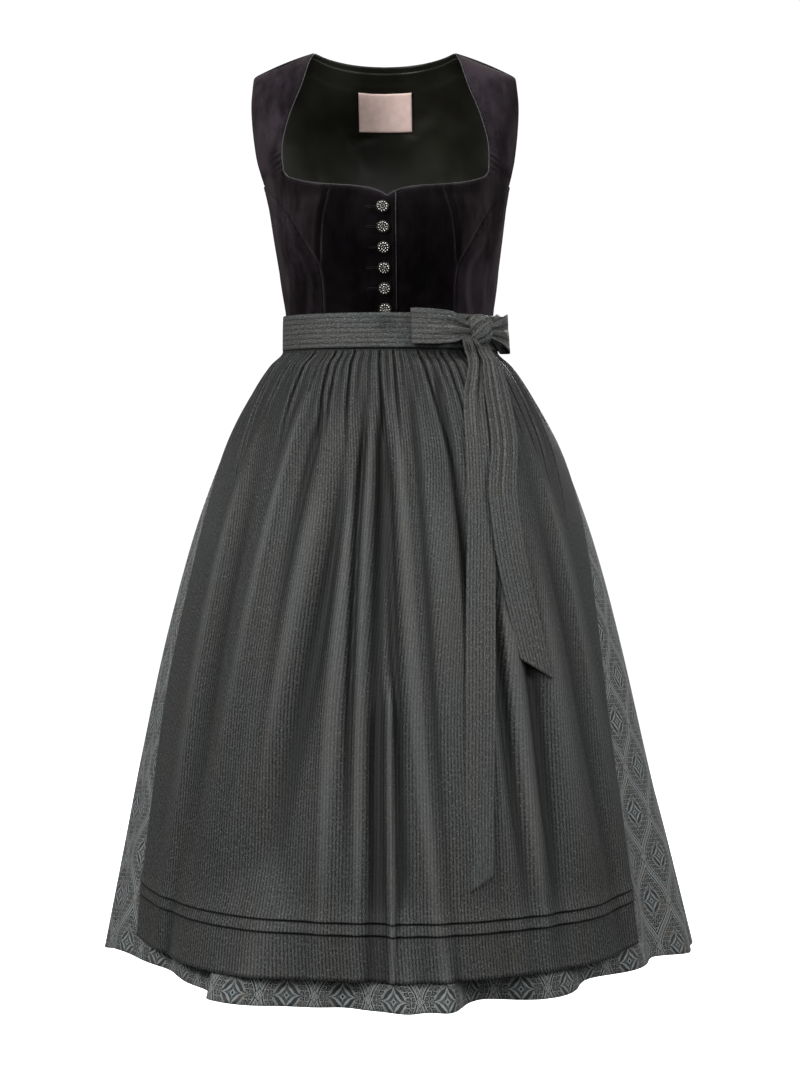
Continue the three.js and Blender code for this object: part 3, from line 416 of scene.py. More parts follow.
def makeJacquard():
    look = jacquardLook
    halfW, halfH = look["width"] / 2, look["height"] / 2
    material, tree, shader, place, uv = startMaterial(
        "jacquard", Roughness=0.78, Specular_IOR_Level=0.1, Sheen_Weight=0.05, Sheen_Roughness=0.5)

    def m(operation, *values):
        return nodeMath(tree, operation, *values)

    def line(distance, half, soft=0.00012):
        # 1 within half of zero distance
        return m("SUBTRACT", 1.0, nodeRange(tree, m("ABSOLUTE", distance), half - soft, half + soft))

    def both(first, second):
        return m("MULTIPLY", first, second)

    rawU, rawV = splitUv(tree, uv)
    wobble = nodeNoise(tree, uv, 500, 2, 0.5)
    sway = m("MULTIPLY", m("SUBTRACT", wobble, 0.5), 0.0011)
    u = m("SNAP", m("ADD", rawU, sway), look["weave"])
    v = m("SNAP", m("ADD", m("SUBTRACT", rawV, look["aboveHem"]), sway), look["weave"])
    x = m("PINGPONG", u, halfW)
    y = m("PINGPONG", v, halfH)
    swing = m("MULTIPLY", m("COSINE", m("MULTIPLY", y, math.pi / halfH)), 0.5)
    side = m("SUBTRACT", m("SUBTRACT", m("DIVIDE", x, halfW), 0.5), swing)
    other = m("GREATER_THAN", side, 0.0)
    flip = m("SUBTRACT", 1.0, m("MULTIPLY", other, 2.0))
    localX = m("ADD", m("MULTIPLY", x, flip), m("MULTIPLY", other, halfW))
    localY = m("ADD", m("MULTIPLY", y, flip), m("MULTIPLY", other, halfH))
    slope = m("SINE", m("MULTIPLY", y, math.pi / halfH))
    steep = m("SQRT", m("ADD", 1.0, m("POWER", m("MULTIPLY", slope, 0.5 * math.pi * halfW / halfH), 2.0)))
    signed = m("DIVIDE", m("MULTIPLY", side, halfW), steep)
    fromBand = m("ABSOLUTE", signed)

    def inside(radii):
        # a full body with four pointed tips
        across, along, fullness = radii
        partX, partY = m("DIVIDE", localX, across), m("DIVIDE", localY, along)
        tips = m("ADD", m("POWER", partX, 0.56), m("POWER", partY, 0.56))
        bodyX, bodyY = m("DIVIDE", partX, fullness), m("DIVIDE", partY, fullness)
        body = m("ADD", m("POWER", bodyX, 1.5), m("POWER", bodyY, 1.5))
        return m("LESS_THAN", m("MINIMUM", tips, body), 1.0)

    band = look["bandHalf"]
    chain = m("MULTIPLY", m("SINE", m("MULTIPLY", v, 2 * math.pi / 0.0062)), 0.0012)
    chains = m("MAXIMUM", line(m("SUBTRACT", signed, chain), 0.0005), line(m("ADD", signed, chain), 0.0005))
    pitch, radius = look["curlPitch"], look["curlRadius"]
    ringY = m("MULTIPLY", m("SUBTRACT", m("FRACT", m("DIVIDE", localY, pitch)), 0.5), pitch)
    rows = m("DIVIDE", m("SUBTRACT", fromBand, look["curlInset"] - pitch / 2), pitch)
    ringX = m("MULTIPLY", m("SUBTRACT", m("FRACT", rows), 0.5), pitch)
    ringAway = m("SQRT", m("ADD", m("POWER", ringX, 2.0), m("POWER", ringY, 2.0)))
    curls = m("MAXIMUM", line(m("SUBTRACT", ringAway, radius), 0.00055), m("LESS_THAN", ringAway, 0.0006))
    scallop = m("MULTIPLY", m("ABSOLUTE", m("SINE", m("MULTIPLY", localY, math.pi / pitch))), 0.0012)
    vine = line(m("SUBTRACT", fromBand, m("ADD", 0.0104, scallop)), 0.0005)

    corner = m("ADD", m("ABSOLUTE", m("SUBTRACT", localX, halfW)), localY)
    tip = m("ADD", localX, m("ABSOLUTE", m("SUBTRACT", localY, halfH)))
    knot = m("MINIMUM", corner, tip)
    beads = both(m("SINE", m("MULTIPLY", localX, 2 * math.pi / 0.0034)),
                 m("SINE", m("MULTIPLY", localY, 2 * math.pi / 0.0034)))
    petals = line(m("SUBTRACT", m("DIVIDE", localX, 0.72), localY), 0.0007)

    fine = nodeNoise(tree, uv, 2100, 2, 0.75)
    seeds = nodeNoise(tree, uv, 620, 2, 0.6)
    cloud = nodeNoise(tree, uv, 30, 3, 0.5)
    warmth = nodeNoise(tree, uv, 55, 2, 0.5)
    tone = nodeMix(tree, nodeRange(tree, seeds, 0.48, 0.58), look["light"], look["ground"])
    tone = nodeMix(tree, 0.2, tone, look["ground"])
    tone = nodeMix(tree, m("MAXIMUM", vine, curls), tone, look["dark"])
    tone = nodeMix(tree, line(m("SUBTRACT", fromBand, band + 0.0017), 0.0006), tone, look["light"])
    tone = nodeMix(tree, m("LESS_THAN", fromBand, band), tone, look["light"])
    tone = nodeMix(tree, both(chains, m("LESS_THAN", fromBand, band)), tone, look["shade"])
    tone = nodeMix(tree, line(m("SUBTRACT", fromBand, band + 0.0004), 0.0008), tone, look["dark"])
    layers = [("outline", "light"), ("darkBand", "shade"), ("ringEdge", "dark"), ("ring", "light"),
              ("darkRing", "dark"), ("core", "blue")]
    for shape, colour in layers:
        tone = nodeMix(tree, inside(look[shape]), tone, look[colour])
    tone = nodeMix(tree, both(inside(look["core"]), petals), tone, look["dark"])
    tone = nodeMix(tree, inside(look["heart"]), tone, look["light"])
    tone = nodeMix(tree, inside(look["seed"]), tone, look["dark"])
    tone = nodeMix(tree, m("LESS_THAN", knot, 0.0072), tone, look["dark"])
    tone = nodeMix(tree, m("LESS_THAN", knot, 0.0062), tone, look["light"])
    beaded = both(m("GREATER_THAN", beads, 0.3), m("LESS_THAN", knot, 0.0054))
    tone = nodeMix(tree, beaded, tone, look["dark"])
    tone = nodeMix(tree, nodeRange(tree, warmth, 0.5, 0.7, 0.0, 0.3), tone, look["warm"])
    tone = nodeMix(tree, nodeRange(tree, cloud, 0.35, 0.65, 0.0, 0.15), tone, look["ground"])
    tone = nodeMix(tree, nodeRange(tree, fine, 0.44, 0.66, 0.0, 0.3), tone, look["dark"])
    ribs = m("SINE", m("MULTIPLY", rawV, 2 * math.pi / 0.0009))
    relief = m("ADD", m("MULTIPLY", fine, 0.7), m("MULTIPLY", ribs, 0.15))
    finish(tree, shader, tone, relief, 0.25, 0.0004)
    return material


# Fine stripes along the cloth: a pale rib, a thin groove and heathered threads both ways
# tuck is a painted shadow along a tuck's edge, and the fleck colour also paints the highlight on fold ridges
stripeLook = dict(dark=(0.0055, 0.006, 0.0059), ground=(0.04, 0.0425, 0.0415), pale=(0.082, 0.084, 0.081),
                  fleckAndHighlight=(0.19, 0.196, 0.188), brown=(0.05, 0.0435, 0.036), blue=(0.033, 0.0415, 0.046),
                  tuck=(0.0015, 0.0015, 0.0015))


def makeStriped(name, acrossV, pitch, grooveFrom, gain, shaded=False):
    look = stripeLook
    material, tree, shader, place, uv = startMaterial(
        name, Roughness=0.55, Specular_IOR_Level=0.14, Sheen_Weight=0.06, Sheen_Roughness=0.35)

    def m(operation, *values):
        return nodeMath(tree, operation, *values)

    def scaled(colour):
        return tuple(part * gain for part in colour)

    u, v = splitUv(tree, uv)
    across = v if acrossV else u

    def threads(scale, stretchAlong, detail=2, roughness=0.6):
        # noise drawn out along the stripes
        shape = (stretchAlong, 1, 1) if acrossV else (1, stretchAlong, 1)
        return nodeNoise(tree, uv, scale, detail, roughness, shape)

    wobble = m("MULTIPLY", m("SUBTRACT", threads(160, 0.3), 0.5), 0.16)
    phase = m("FRACT", m("ADD", m("DIVIDE", across, pitch), wobble))
    centre = m("ABSOLUTE", m("SUBTRACT", phase, 0.5))
    rib = nodeRange(tree, centre, 0.06, 0.2, 1.0, 0.0)
    second = nodeRange(tree, m("ABSOLUTE", m("SUBTRACT", centre, 0.25)), 0.02, 0.08, 1.0, 0.0)
    groove = nodeRange(tree, centre, grooveFrom, grooveFrom + 0.11)
    heather = threads(640, 0.25, 3, 0.75)
    weft = threads(420, 3.5, 3, 0.75)
    flecks = threads(760, 0.5, 3, 0.7)
    strength = threads(260, 0.12, 2, 0.6)
    casts = threads(20, 0.3, 2, 0.5)
    tone = nodeMix(tree, nodeRange(tree, casts, 0.4, 0.6), scaled(look["brown"]), scaled(look["blue"]))
    tone = nodeMix(tree, 0.6, tone, scaled(look["ground"]))
    paleRib = m("MULTIPLY", rib, nodeRange(tree, strength, 0.3, 0.65, 0.1, 0.7))
    tone = nodeMix(tree, paleRib, tone, scaled(look["pale"]))
    tone = nodeMix(tree, m("MULTIPLY", second, 0.25), tone, scaled(look["pale"]))
    tone = nodeMix(tree, m("MULTIPLY", groove, 0.9), tone, scaled(look["dark"]))
    tone = nodeMix(tree, nodeRange(tree, heather, 0.44, 0.66, 0.0, 0.6), tone, scaled(look["dark"]))
    tone = nodeMix(tree, nodeRange(tree, weft, 0.48, 0.68, 0.0, 0.6), tone, scaled(look["dark"]))
    tone = nodeMix(tree, nodeRange(tree, flecks, 0.52, 0.68, 0.0, 0.62), tone, scaled(look["fleckAndHighlight"]))
    if shaded:
        # painted shade from the fold heights: half is the flat cloth, less is a hollow painted darker, more
        # is a ridge painted paler as a highlight, and below nothing a tuck's edge painted near black as its
        # shadow
        fold = tree.nodes.new("ShaderNodeAttribute")
        fold.attribute_name = "fold"
        height = fold.outputs["Fac"]
        tone = nodeMix(tree, nodeRange(tree, height, 0.0, 0.5, 0.8, 0.0), tone, scaled(look["dark"]))
        tone = nodeMix(tree, nodeRange(tree, height, 0.58, 1.0, 0.0, 0.2), tone, scaled(look["fleckAndHighlight"]))
        tone = nodeMix(tree, nodeRange(tree, height, -0.7, -0.1, 0.95, 0.0), tone, look["tuck"])
    relief = m("ADD", m("MULTIPLY", rib, 0.5), m("MULTIPLY", heather, 0.5))
    relief = m("SUBTRACT", relief, m("MULTIPLY", groove, 0.8))
    finish(tree, shader, tone, relief, 0.4, 0.0005)
    return material


def makePewter():
    # bright on the beads and nearly black in the recesses, which the mesh marks
    material, tree, shader, place, uv = startMaterial("pewter", Metallic=0.85, Roughness=0.34)
    raised = tree.nodes.new("ShaderNodeAttribute")
    raised.attribute_name = "raised"
    pits = nodeNoise(tree, place, 1500, 3, 0.6)
    height = nodeRange(tree, raised.outputs["Fac"], 0.45, 0.85)
    tone = nodeMix(tree, height, pewterLook["recess"], pewterLook["bead"])
    tone = nodeMix(tree, nodeRange(tree, pits, 0.45, 0.7, 0.0, 0.35), tone, pewterLook["worn"])
    tree.links.new(nodeRange(tree, pits, 0.3, 0.7, 0.28, 0.5), shader.inputs["Roughness"])
    finish(tree, shader, tone, pits, 0.2, 0.0003)
    return material


def makeThread():
    material, tree, shader, place, uv = startMaterial(
        "thread", Roughness=0.6, Specular_IOR_Level=0.2, Sheen_Weight=0.05)
    twist = nodeNoise(tree, place, 1800, 2, 0.5)
    tone = nodeMix(tree, nodeRange(tree, twist, 0.35, 0.65), threadLook["dark"], threadLook["light"])
    finish(tree, shader, tone, twist, 0.3, 0.0002)
    return material


velvet = makeVelvet()
lining = makeLining()
labelCloth = makeLabel()
pipingSatin = makePiping()
jacquard = makeJacquard()
apronCloth = makeStriped("apronStripes", False, 0.0041, 0.25, 0.81, True)
tieCloth = makeStriped("tieStripes", True, 0.006, 0.39, 1.2)
tailCloth = makeStriped("tailStripes", True, 0.0047, 0.32, 1.0)
pewter = makePewter()
thread = makeThread()
print("materials made")


# Meshes from grids of points

def placeMesh(name, bm, materials):
    mesh = bpy.data.meshes.new(name)
    bm.to_mesh(mesh)
    bm.free()
    obj = bpy.data.objects.new(name, mesh)
    bpy.context.scene.collection.objects.link(obj)
    for material in materials:
        mesh.materials.append(material)
    mesh.polygons.foreach_set("use_smooth", [True] * len(mesh.polygons))
    return obj


def gridObject(name, points, flat, materials, keep=None, marks=None):
    # a grid whose corners move to the points, with the flat cloth's metres as its UV map
    rows, columns = points.shape[:2]
    bm = bmesh.new()
    bmesh.ops.create_grid(bm, x_segments=columns - 1, y_segments=rows - 1, size=0.5)
    cells = {}
    for vert in bm.verts:
        cells[vert.index] = (round((vert.co.y + 0.5) * (rows - 1)), round((vert.co.x + 0.5) * (columns - 1)))
    if keep is not None:
        outside = []
        for face in bm.faces:
            i = min(cells[v.index][0] for v in face.verts)
            j = min(cells[v.index][1] for v in face.verts)
            if not keep(i, j):
                outside.append(face)
        bmesh.ops.delete(bm, geom=outside, context="FACES")
    obj = placeMesh(name, bm, materials)
    mesh = obj.data
    start = np.empty(len(mesh.vertices) * 3)
    mesh.vertices.foreach_get("co", start)
    start = start.reshape(-1, 3)
    i = np.rint((start[:, 1] + 0.5) * (rows - 1)).astype(int)
    j = np.rint((start[:, 0] + 0.5) * (columns - 1)).astype(int)
    mesh.vertices.foreach_set("co", (points[i, j] * mm).ravel())
    corners = np.empty(len(mesh.loops), dtype=np.int32)
    mesh.loops.foreach_get("vertex_index", corners)
    layer = mesh.uv_layers.new(name="cloth")
    layer.data.foreach_set("uv", (flat[i[corners], j[corners]] * mm).ravel())
    for mark, values in (marks or {}).items():
        mesh.attributes.new(mark, "FLOAT", "POINT").data.foreach_set("value", values[i, j].ravel())
    mesh.update()
    return obj


def flatMap(points, width, length):
    # the cut cloth: even shares of its width, and lengths measured up the middle
    up = lengthsUp(points)
    middle = up[:, points.shape[1] // 2]
    middle = middle / middle[-1] * length
    u = np.broadcast_to(np.linspace(0, width, points.shape[1])[None, :], points.shape[:2])
    v = np.broadcast_to(middle[:, None], points.shape[:2])
    return np.stack([u, v], axis=-1)


def claim(obj, node=None):
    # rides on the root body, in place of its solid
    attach(obj, "root")
    if node:
        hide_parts(node)


def clothPiece(name, points, materials, node, slotName, thickness, held, flat=None, keep=None, restsOn=(),
               area=None, innerSlot=0, alongUv=None, marks=None):
    width = float(lengthsAcross(points)[:, -1].max())
    length = float(np.median(lengthsUp(points)[-1]))
    flat = flat or (width, length)
    uv = flatMap(points, *flat) if alongUv is None else alongUv
    obj = gridObject(name, drifted(points), uv, materials, keep, marks)
    wall = obj.modifiers.new("thickness", "SOLIDIFY")
    wall.thickness = thickness * mm
    wall.offset = -1
    wall.material_offset = innerSlot
    claim(obj, node)


def velvetPiece(name, node, points, napAndSheen, area=None, **cut):
    # each point carries its share of painted sheen as a mesh attribute
    clothPiece(name, points, [velvet, lining], node, "velvet", cloth["bodice"], "stretched",
               area=area or patchArea(points), innerSlot=1, marks=dict(napAndSheen=napAndSheen), **cut)


# Bodice

necklineFront = table("angle z", [
    (0, -185), (3.5, -180), (11, -174.5), (22, -171.5), (32, -169), (43, -164), (50, -159), (54, -155)])
frontSeam = table("z angle", [
    (-340, 38.8), (-318, 38.5), (-284, 37.4), (-262, 38.2), (-249, 41.4), (-217, 50), (-190, 62), (-163, 84)])
frontSeamTop = dict(angle=84, z=-163)
strapRows = [
    dict(neck=(124.4, -58.2, -139.7), arm=(152.6, -29.5, -149), bulge=2),
    dict(neck=(125, -55, -124), arm=(156.3, -25, -134), bulge=4),
    dict(neck=(120.5, -44, -93), arm=(161, -20, -98), bulge=6),
    dict(neck=(109, -34.5, -61), arm=(162.5, -18, -67), bulge=6),
    dict(neck=(98.5, -26, -33), arm=(161, -15, -46), bulge=6),
    dict(neck=(91.5, -13, -8), arm=(159.5, -8, -32), bulge=4),
    dict(neck=(87, 5, 2), arm=(158, 5, -27), bulge=2),
]
strapInnerAngle = 54
lap = dict(edgeX=8.5, underX=-18, zoneShare=0.2, zoneAngle=7.3, radius=138, sink=2.3)
strapShare = lerp(lap["zoneShare"], 1,
                  (strapInnerAngle - lap["zoneAngle"]) / (frontSeamTop["angle"] - lap["zoneAngle"]))


def strapPoint(share, rise):
    angle = lerp(strapInnerAngle, frontSeamTop["angle"], share)
    baseZ = lerp(readTable(necklineFront, "angle", "z", strapInnerAngle), frontSeamTop["z"], share)
    controls = [figurePoint(angle, baseZ - 26), figurePoint(angle, baseZ)]
    for row in strapRows:
        neck, arm = np.array(row["neck"], float), np.array(row["arm"], float)
        way = np.cross(unit(arm - neck), (0, -0.25, 1))
        way = -unit(way) if way[1] < 0 else unit(way)
        way = -way if way[1] > 0 else way
        bulge = row["bulge"] * 4 * share * (1 - share)
        controls.append(neck + (arm - neck) * share[..., None] + way * bulge[..., None])
    knots = len(strapRows) + 1
    return catmullRom(controls, lerp(1, knots, rise) / knots)


def frontAngle(share, lapAngle, seamAt):
    zone, zoneAngle = lap["zoneShare"], lap["zoneAngle"]
    beside = lerp(lapAngle, zoneAngle, share / zone)
    return np.where(share < zone, beside, lerp(zoneAngle, seamAt, (share - zone) / (1 - zone)))


def frontPoint(row, share, lapAngle):
    low = np.minimum(row, 1)
    seamZ = lerp(seam["waistZ"], frontSeamTop["z"], low)
    angle = frontAngle(share, lapAngle, readTable(frontSeam, "z", "angle", seamZ) - seam["halfAngle"])
    topAngle = frontAngle(share, lapAngle, frontSeamTop["angle"])
    upStrap = np.clip((share - strapShare) / (1 - strapShare), 0, 1)
    strapTop = lerp(readTable(necklineFront, "angle", "z", strapInnerAngle), frontSeamTop["z"], upStrap)
    topZ = np.where(share < strapShare, readTable(necklineFront, "angle", "z", np.abs(topAngle)), strapTop)
    below = figurePoint(angle, lerp(seam["waistZ"], topZ, low))
    return np.where((row > 1)[..., None], strapPoint(upStrap, np.maximum(row - 1, 0)), below)


# The dart that runs down from the neckline, and the puckers sewn along the strap's inner edge
dart = table("z angle", [(-262, 37.6), (-245, 36.6), (-231, 35.6), (-205, 33), (-190, 30.6), (-172, 28)])
bodiceLook = dict(dartDepth=1.7, dartWidth=1.7, puckerHeight=1.1, puckerPitch=7.5, puckerReach=11,
                  stitchInset=5.2, frontRows=(84, 66), frontColumns=(56, 24))
# across and up in millimetres from the lap edge and the waist
frontCreases = [
    dict(at=(18, 140), to=(58, 96), lift=-1.1, width=7, bow=3),
    dict(at=(22, 66), to=(70, 40), lift=-1.3, width=8, bow=-3),
    dict(at=(30, 100), to=(66, 118), lift=0.9, width=9),
    dict(at=(26, 30), to=(60, 60), lift=1.0, width=7, bow=4),
    dict(at=(50, 20), to=(80, 34), lift=-0.9, width=5),
]


def frontRelief(points, row, share, side):
    z = points[..., 2]
    halfWidth = readTable(figure, "z", "halfWidth", z)
    flank = np.degrees(np.arcsin(np.clip(points[..., 0] / halfWidth, -1, 1)))
    perDegree = halfWidth * math.pi / 180
    away = (flank - readTable(dart, "z", "angle", z)) * perDegree * np.cos(np.radians(flank))
    reach = ease(z, -268, -250) * (row <= 1)
    relief = reach * (-bodiceLook["dartDepth"] * np.exp(-(away / bodiceLook["dartWidth"]) ** 2)
                      + 0.8 * np.exp(-((np.abs(away) - 5) / 3.5) ** 2))
    nearTop = ease(z, -205, -178) * (row <= 1) * np.exp(-(away / 11) ** 2)
    relief += 0.55 * nearTop * np.cos(away * 1.35) * ease(np.abs(away), 1.5, 3)
    across, up = lengthsAcross(points), lengthsUp(points)
    inner = across - across[:, [np.searchsorted(share[0], strapShare)]]
    onStrap = ease(row, 1.0, 1.12) * (1 - ease(row, 1.62, 1.85))
    wave = np.cos(2 * math.pi * up / bodiceLook["puckerPitch"] + 2.2 * wander(up / 19, side + 2))
    fall = np.exp(-(np.maximum(inner, 0) / bodiceLook["puckerReach"]) ** 2)
    uneven = 0.75 + 0.35 * wander(up / 13, 5 + side)
    relief += bodiceLook["puckerHeight"] * onStrap * wave * fall * uneven
    relief -= 0.7 * onStrap * np.exp(-((inner - bodiceLook["stitchInset"]) / 1.1) ** 2)
    relief += (row <= 1) * creaseField((across, up), frontCreases) * ease(across, 14, 24)
    return relief + rolledEdges(points, "end") * np.where(row > 1, 0.4, 1)


def makeFront(name, node, side, lapX, underneath):
    lapAngle = side * math.degrees(math.asin(lapX / lap["radius"]))
    lowRows, strapSteps = bodiceLook["frontRows"]
    lowColumns, strapColumns = bodiceLook["frontColumns"]
    rows = stretch((0, 1, lowRows), (1, 2, strapSteps))
    shares = stretch((0, lap["zoneShare"], 14), (lap["zoneShare"], strapShare, lowColumns - 14),
                     (strapShare, 1, strapColumns))
    row, share = np.meshgrid(rows, shares, indexing="ij")
    points = frontPoint(row, share, lapAngle)
    points = points + outwardOf(points) * frontRelief(points, row, share, side)[..., None]
    if underneath:
        dip = (1 - ease(share, 0.17, 0.235)) * (row <= 1)
        points[..., 1] += lap["sink"] * dip
    if side < 0:
        points = mirrored(points)[:, ::-1]
    count = points.shape[1] - 1

    def keep(i, j):
        column = j if side > 0 else count - 1 - j
        return i < lowRows or column >= lowColumns

    # painted sheen: strong on the straps, where light from above falls, weak and dark in front and a little
    # stronger towards the side
    inFront = 0.1 + 0.3 * ease(share, 0.62, 1) * ease(row, 0.35, 0.9)
    napAndSheen = 0.95 * ease(row, 0.94, 1.12) + (row <= 1) * inFront
    napAndSheen = napAndSheen if side > 0 else napAndSheen[:, ::-1]
    onCloth = points[:lowRows + 1]
    width = float(lengthsAcross(onCloth)[:, -1].max())
    strapSide = points[:, -1] if side > 0 else points[:, 0]
    length = float(np.linalg.norm(np.diff(strapSide, axis=0), axis=1).sum())
    strapPart = points[lowRows:, lowColumns:] if side > 0 else points[lowRows:, :strapColumns + 1]
    velvetPiece(name, node, points, napAndSheen, patchArea(onCloth) + patchArea(strapPart), flat=(width, length),
                keep=keep)


makeFront("frontRight", "front_right", -1, lap["edgeX"], False)
makeFront("frontLeft", "front_left", 1, lap["underX"], True)
print("fronts made")

# across from the princess seam and up from the waist, in millimetres
sideCreases = [
    dict(at=(22, 4), to=(12, 92), lift=1.7, width=5.5, bow=7),
    dict(at=(34, 2), to=(30, 110), lift=-1.8, width=6, bow=8),
    dict(at=(48, 8), to=(52, 120), lift=1.6, width=7, bow=6),
    dict(at=(66, 0), to=(60, 70), lift=-1.4, width=6, bow=-5),
    dict(at=(18, 110), to=(44, 150), lift=-1.1, width=7, bow=3),
]


def makeSideFront(name, node, side):
    row, share = np.meshgrid(stretch((0, 1, 84)), stretch((0, 1, 44)), indexing="ij")
    seamZ = lerp(seam["waistZ"], frontSeamTop["z"], row)
    seamAt = readTable(frontSeam, "z", "angle", seamZ) + seam["halfAngle"]
    topZ = lerp(frontSeamTop["z"], seam["underarmZ"], ease(share, 0, 1))
    points = figurePoint(lerp(seamAt, 90, share), lerp(seam["waistZ"], topZ, row))
    across, up = lengthsAcross(points), lengthsUp(points)
    relief = creaseField((across, up), sideCreases) * ease(across, 2, 14) + rolledEdges(points, "start end")
    relief += 0.5 * np.cos(up * 0.62 + 2 * wander(up / 15, 4)) * np.exp(-(across / 8) ** 2) * ease(up, 60, 90)
    points = points + outwardOf(points) * relief[..., None]
    # painted sheen, stronger towards the side seam and weaker higher up
    napAndSheen = 0.42 + 0.5 * ease(share, 0, 0.5) * (1 - 0.4 * ease(row, 0.45, 0.8))
    if side < 0:
        points, napAndSheen = mirrored(points)[:, ::-1], napAndSheen[:, ::-1]
    velvetPiece(name, node, points, napAndSheen)


makeSideFront("sideFrontRight", "side_front_right", -1)
makeSideFront("sideFrontLeft", "side_front_left", 1)

necklineBack = [(87, 5, 2), (72, 17, -3), (49, 35, -6.5), (24, 47, -8), (0, 50.5, -8.5)]
backForm = dict(underarmRow=0.5, shoulderShare=0.48, seamTopRow=0.78, seamShare=0.0012)
backSeam = table("row share", [(0, 0.3), (0.2, 0.32), (0.4, 0.4), (0.55, 0.54), (0.68, 0.75), (0.78, 0.97)])


def backTop(share):
    onShoulder = backForm["shoulderShare"]
    tip = strapRows[-1]
    along = np.clip((share - (1 - onShoulder)) / onShoulder, 0, 1)
    neck, arm = np.array(tip["neck"], float), np.array(tip["arm"], float)
    shoulder = neck + (arm - neck) * along[..., None]
    shoulder[..., 2] += tip["bulge"] * 4 * along * (1 - along)
    neckline = catmullRom(necklineBack, 1 - share / (1 - onShoulder))
    return np.where((share > 1 - onShoulder)[..., None], shoulder, neckline)


def backPoint(row, share):
    # share runs from 0 in the middle to 1 at the side, and is negative on the wearer's left
    size = np.minimum(np.abs(share), 1)
    underarm = backForm["underarmRow"]
    angle = 180 - 90 * size
    below = figurePoint(angle, lerp(seam["waistZ"], seam["underarmZ"], np.clip(row / underarm, 0, 1)))
    t = np.clip((row - underarm) / (1 - underarm), 0, 1)[..., None]
    start, end = figurePoint(angle, seam["underarmZ"] + 0 * size), backTop(size)
    over, near = ease(size, 0.3, 0.75), ease(size, 0.55, 1)
    leave = np.stack([-10 * near, 52 * near, lerp(62, 30, near)], axis=-1)
    back, down = lerp(lerp(28, 38, over), 26, near), lerp(lerp(-48, -12, over), -22, near)
    arrive = np.stack([0 * near, back, down], axis=-1)
    above = ((1 - t) ** 3 * start + 3 * (1 - t) ** 2 * t * (start + leave)
             + 3 * (1 - t) * t ** 2 * (end + arrive) + t ** 3 * end)
    point = np.where((row > underarm)[..., None], above, below)
    point[..., 0] *= np.where(share < 0, -1, 1)
    return point


# across from the middle of the back and up from the waist
backCreases = [
    dict(at=(-40, 8), to=(-22, 70), lift=1.3, width=6, bow=4),
    dict(at=(34, 6), to=(20, 84), lift=-1.4, width=6, bow=-4),
    dict(at=(-14, 4), to=(-6, 56), lift=-1.1, width=5),
    dict(at=(52, 110), to=(14, 150), lift=-1.2, width=8, bow=3),
    dict(at=(-58, 120), to=(-20, 168), lift=1.2, width=8, bow=-4),
    dict(at=(-90, 235), to=(-70, 285), lift=-1.0, width=7),
    dict(at=(92, 230), to=(74, 290), lift=-1.1, width=7),
]


def makeBackCentre():
    top = backForm["seamTopRow"]
    rows = stretch((0, top, 110), (top, 1, 46))
    row, fraction = np.meshgrid(rows, stretch((-1, 1, 96)), indexing="ij")
    reach = np.where(row <= top, readTable(backSeam, "row", "share", row) - backForm["seamShare"], 1)
    points = backPoint(row, -reach * fraction)
    across, up = lengthsAcross(points), lengthsUp(points)
    middle = across - across[:, -1:] / 2
    roll = rolledEdges(points, "start end") * np.where(row <= top, 1, 0.3)
    relief = creaseField((middle, up), backCreases) + roll
    points = points + outwardOf(points) * relief[..., None]
    # painted sheen, stronger towards the top of the back
    napAndSheen = 0.2 + 0.6 * ease(row, 0.6, 0.95)
    velvetPiece("backCentre", "back_centre", points, napAndSheen)


def makeSideBack(name, node, side):
    row, share = np.meshgrid(stretch((0, backForm["seamTopRow"], 96)), stretch((0, 1, 40)), indexing="ij")
    seamAt = readTable(backSeam, "row", "share", row) + backForm["seamShare"]
    points = backPoint(row, lerp(seamAt, 1, share))
    points = points[:, ::-1]
    across, up = lengthsAcross(points), lengthsUp(points)
    relief = creaseField((across, up), sideCreases) * 0.8 + rolledEdges(points, "start end")
    points = points + outwardOf(points) * relief[..., None]
    if side < 0:
        points = mirrored(points)[:, ::-1]
    # an even share of painted sheen
    velvetPiece(name, node, points, 0.35 + 0 * share)


makeBackCentre()
makeSideBack("sideBackRight", "side_back_right", -1)
makeSideBack("sideBackLeft", "side_back_left", 1)
print("bodice back made")

# Lining and its neck facing, and the bare label

liningForm = dict(inset=3.5, facing=24, facingRise=0.7)
liningCreases = [
    dict(at=(-70, 262), to=(-20, 226), lift=1.8, width=9, bow=6),
    dict(at=(60, 268), to=(30, 200), lift=-2.0, width=8, bow=-5),
    dict(at=(96, 240), to=(78, 150), lift=1.6, width=8, bow=4),
    dict(at=(-96, 236), to=(-84, 140), lift=-1.6, width=9, bow=5),
    dict(at=(-30, 170), to=(24, 130), lift=1.4, width=10, bow=-4),
    dict(at=(8, 250), to=(52, 236), lift=-1.2, width=7),
]


def makeLiningPiece():
    row, share = np.meshgrid(stretch((0.02, 0.98, 110)), stretch((-0.96, 0.96, 100)), indexing="ij")
    points = backPoint(row, -share)
    points = points - outwardOf(points) * liningForm["inset"]
    across, up = lengthsAcross(points), lengthsUp(points)
    middle = across - across[:, -1:] / 2
    fromTop = edgeDistance(points, "high")
    relief = creaseField((middle, up), liningCreases) * ease(fromTop, 18, 40)
    facing = liningForm["facing"]
    relief -= liningForm["facingRise"] * (1 - ease(fromTop, facing - 1, facing + 1))
    underLabel = (np.abs(points[..., 0]) < 40) & (points[..., 2] > -90) & (points[..., 2] < -30)
    points = points - outwardOf(points) * (relief * np.where(underLabel, 0.25, 1))[..., None]
    clothPiece("backLining", points, [lining], "back_lining", "lining", cloth["lining"], "hung",
               area=patchArea(points), restsOn=["backCentre"])


label = dict(width=66, topZ=-37, bottomZ=-83, inset=6.1)


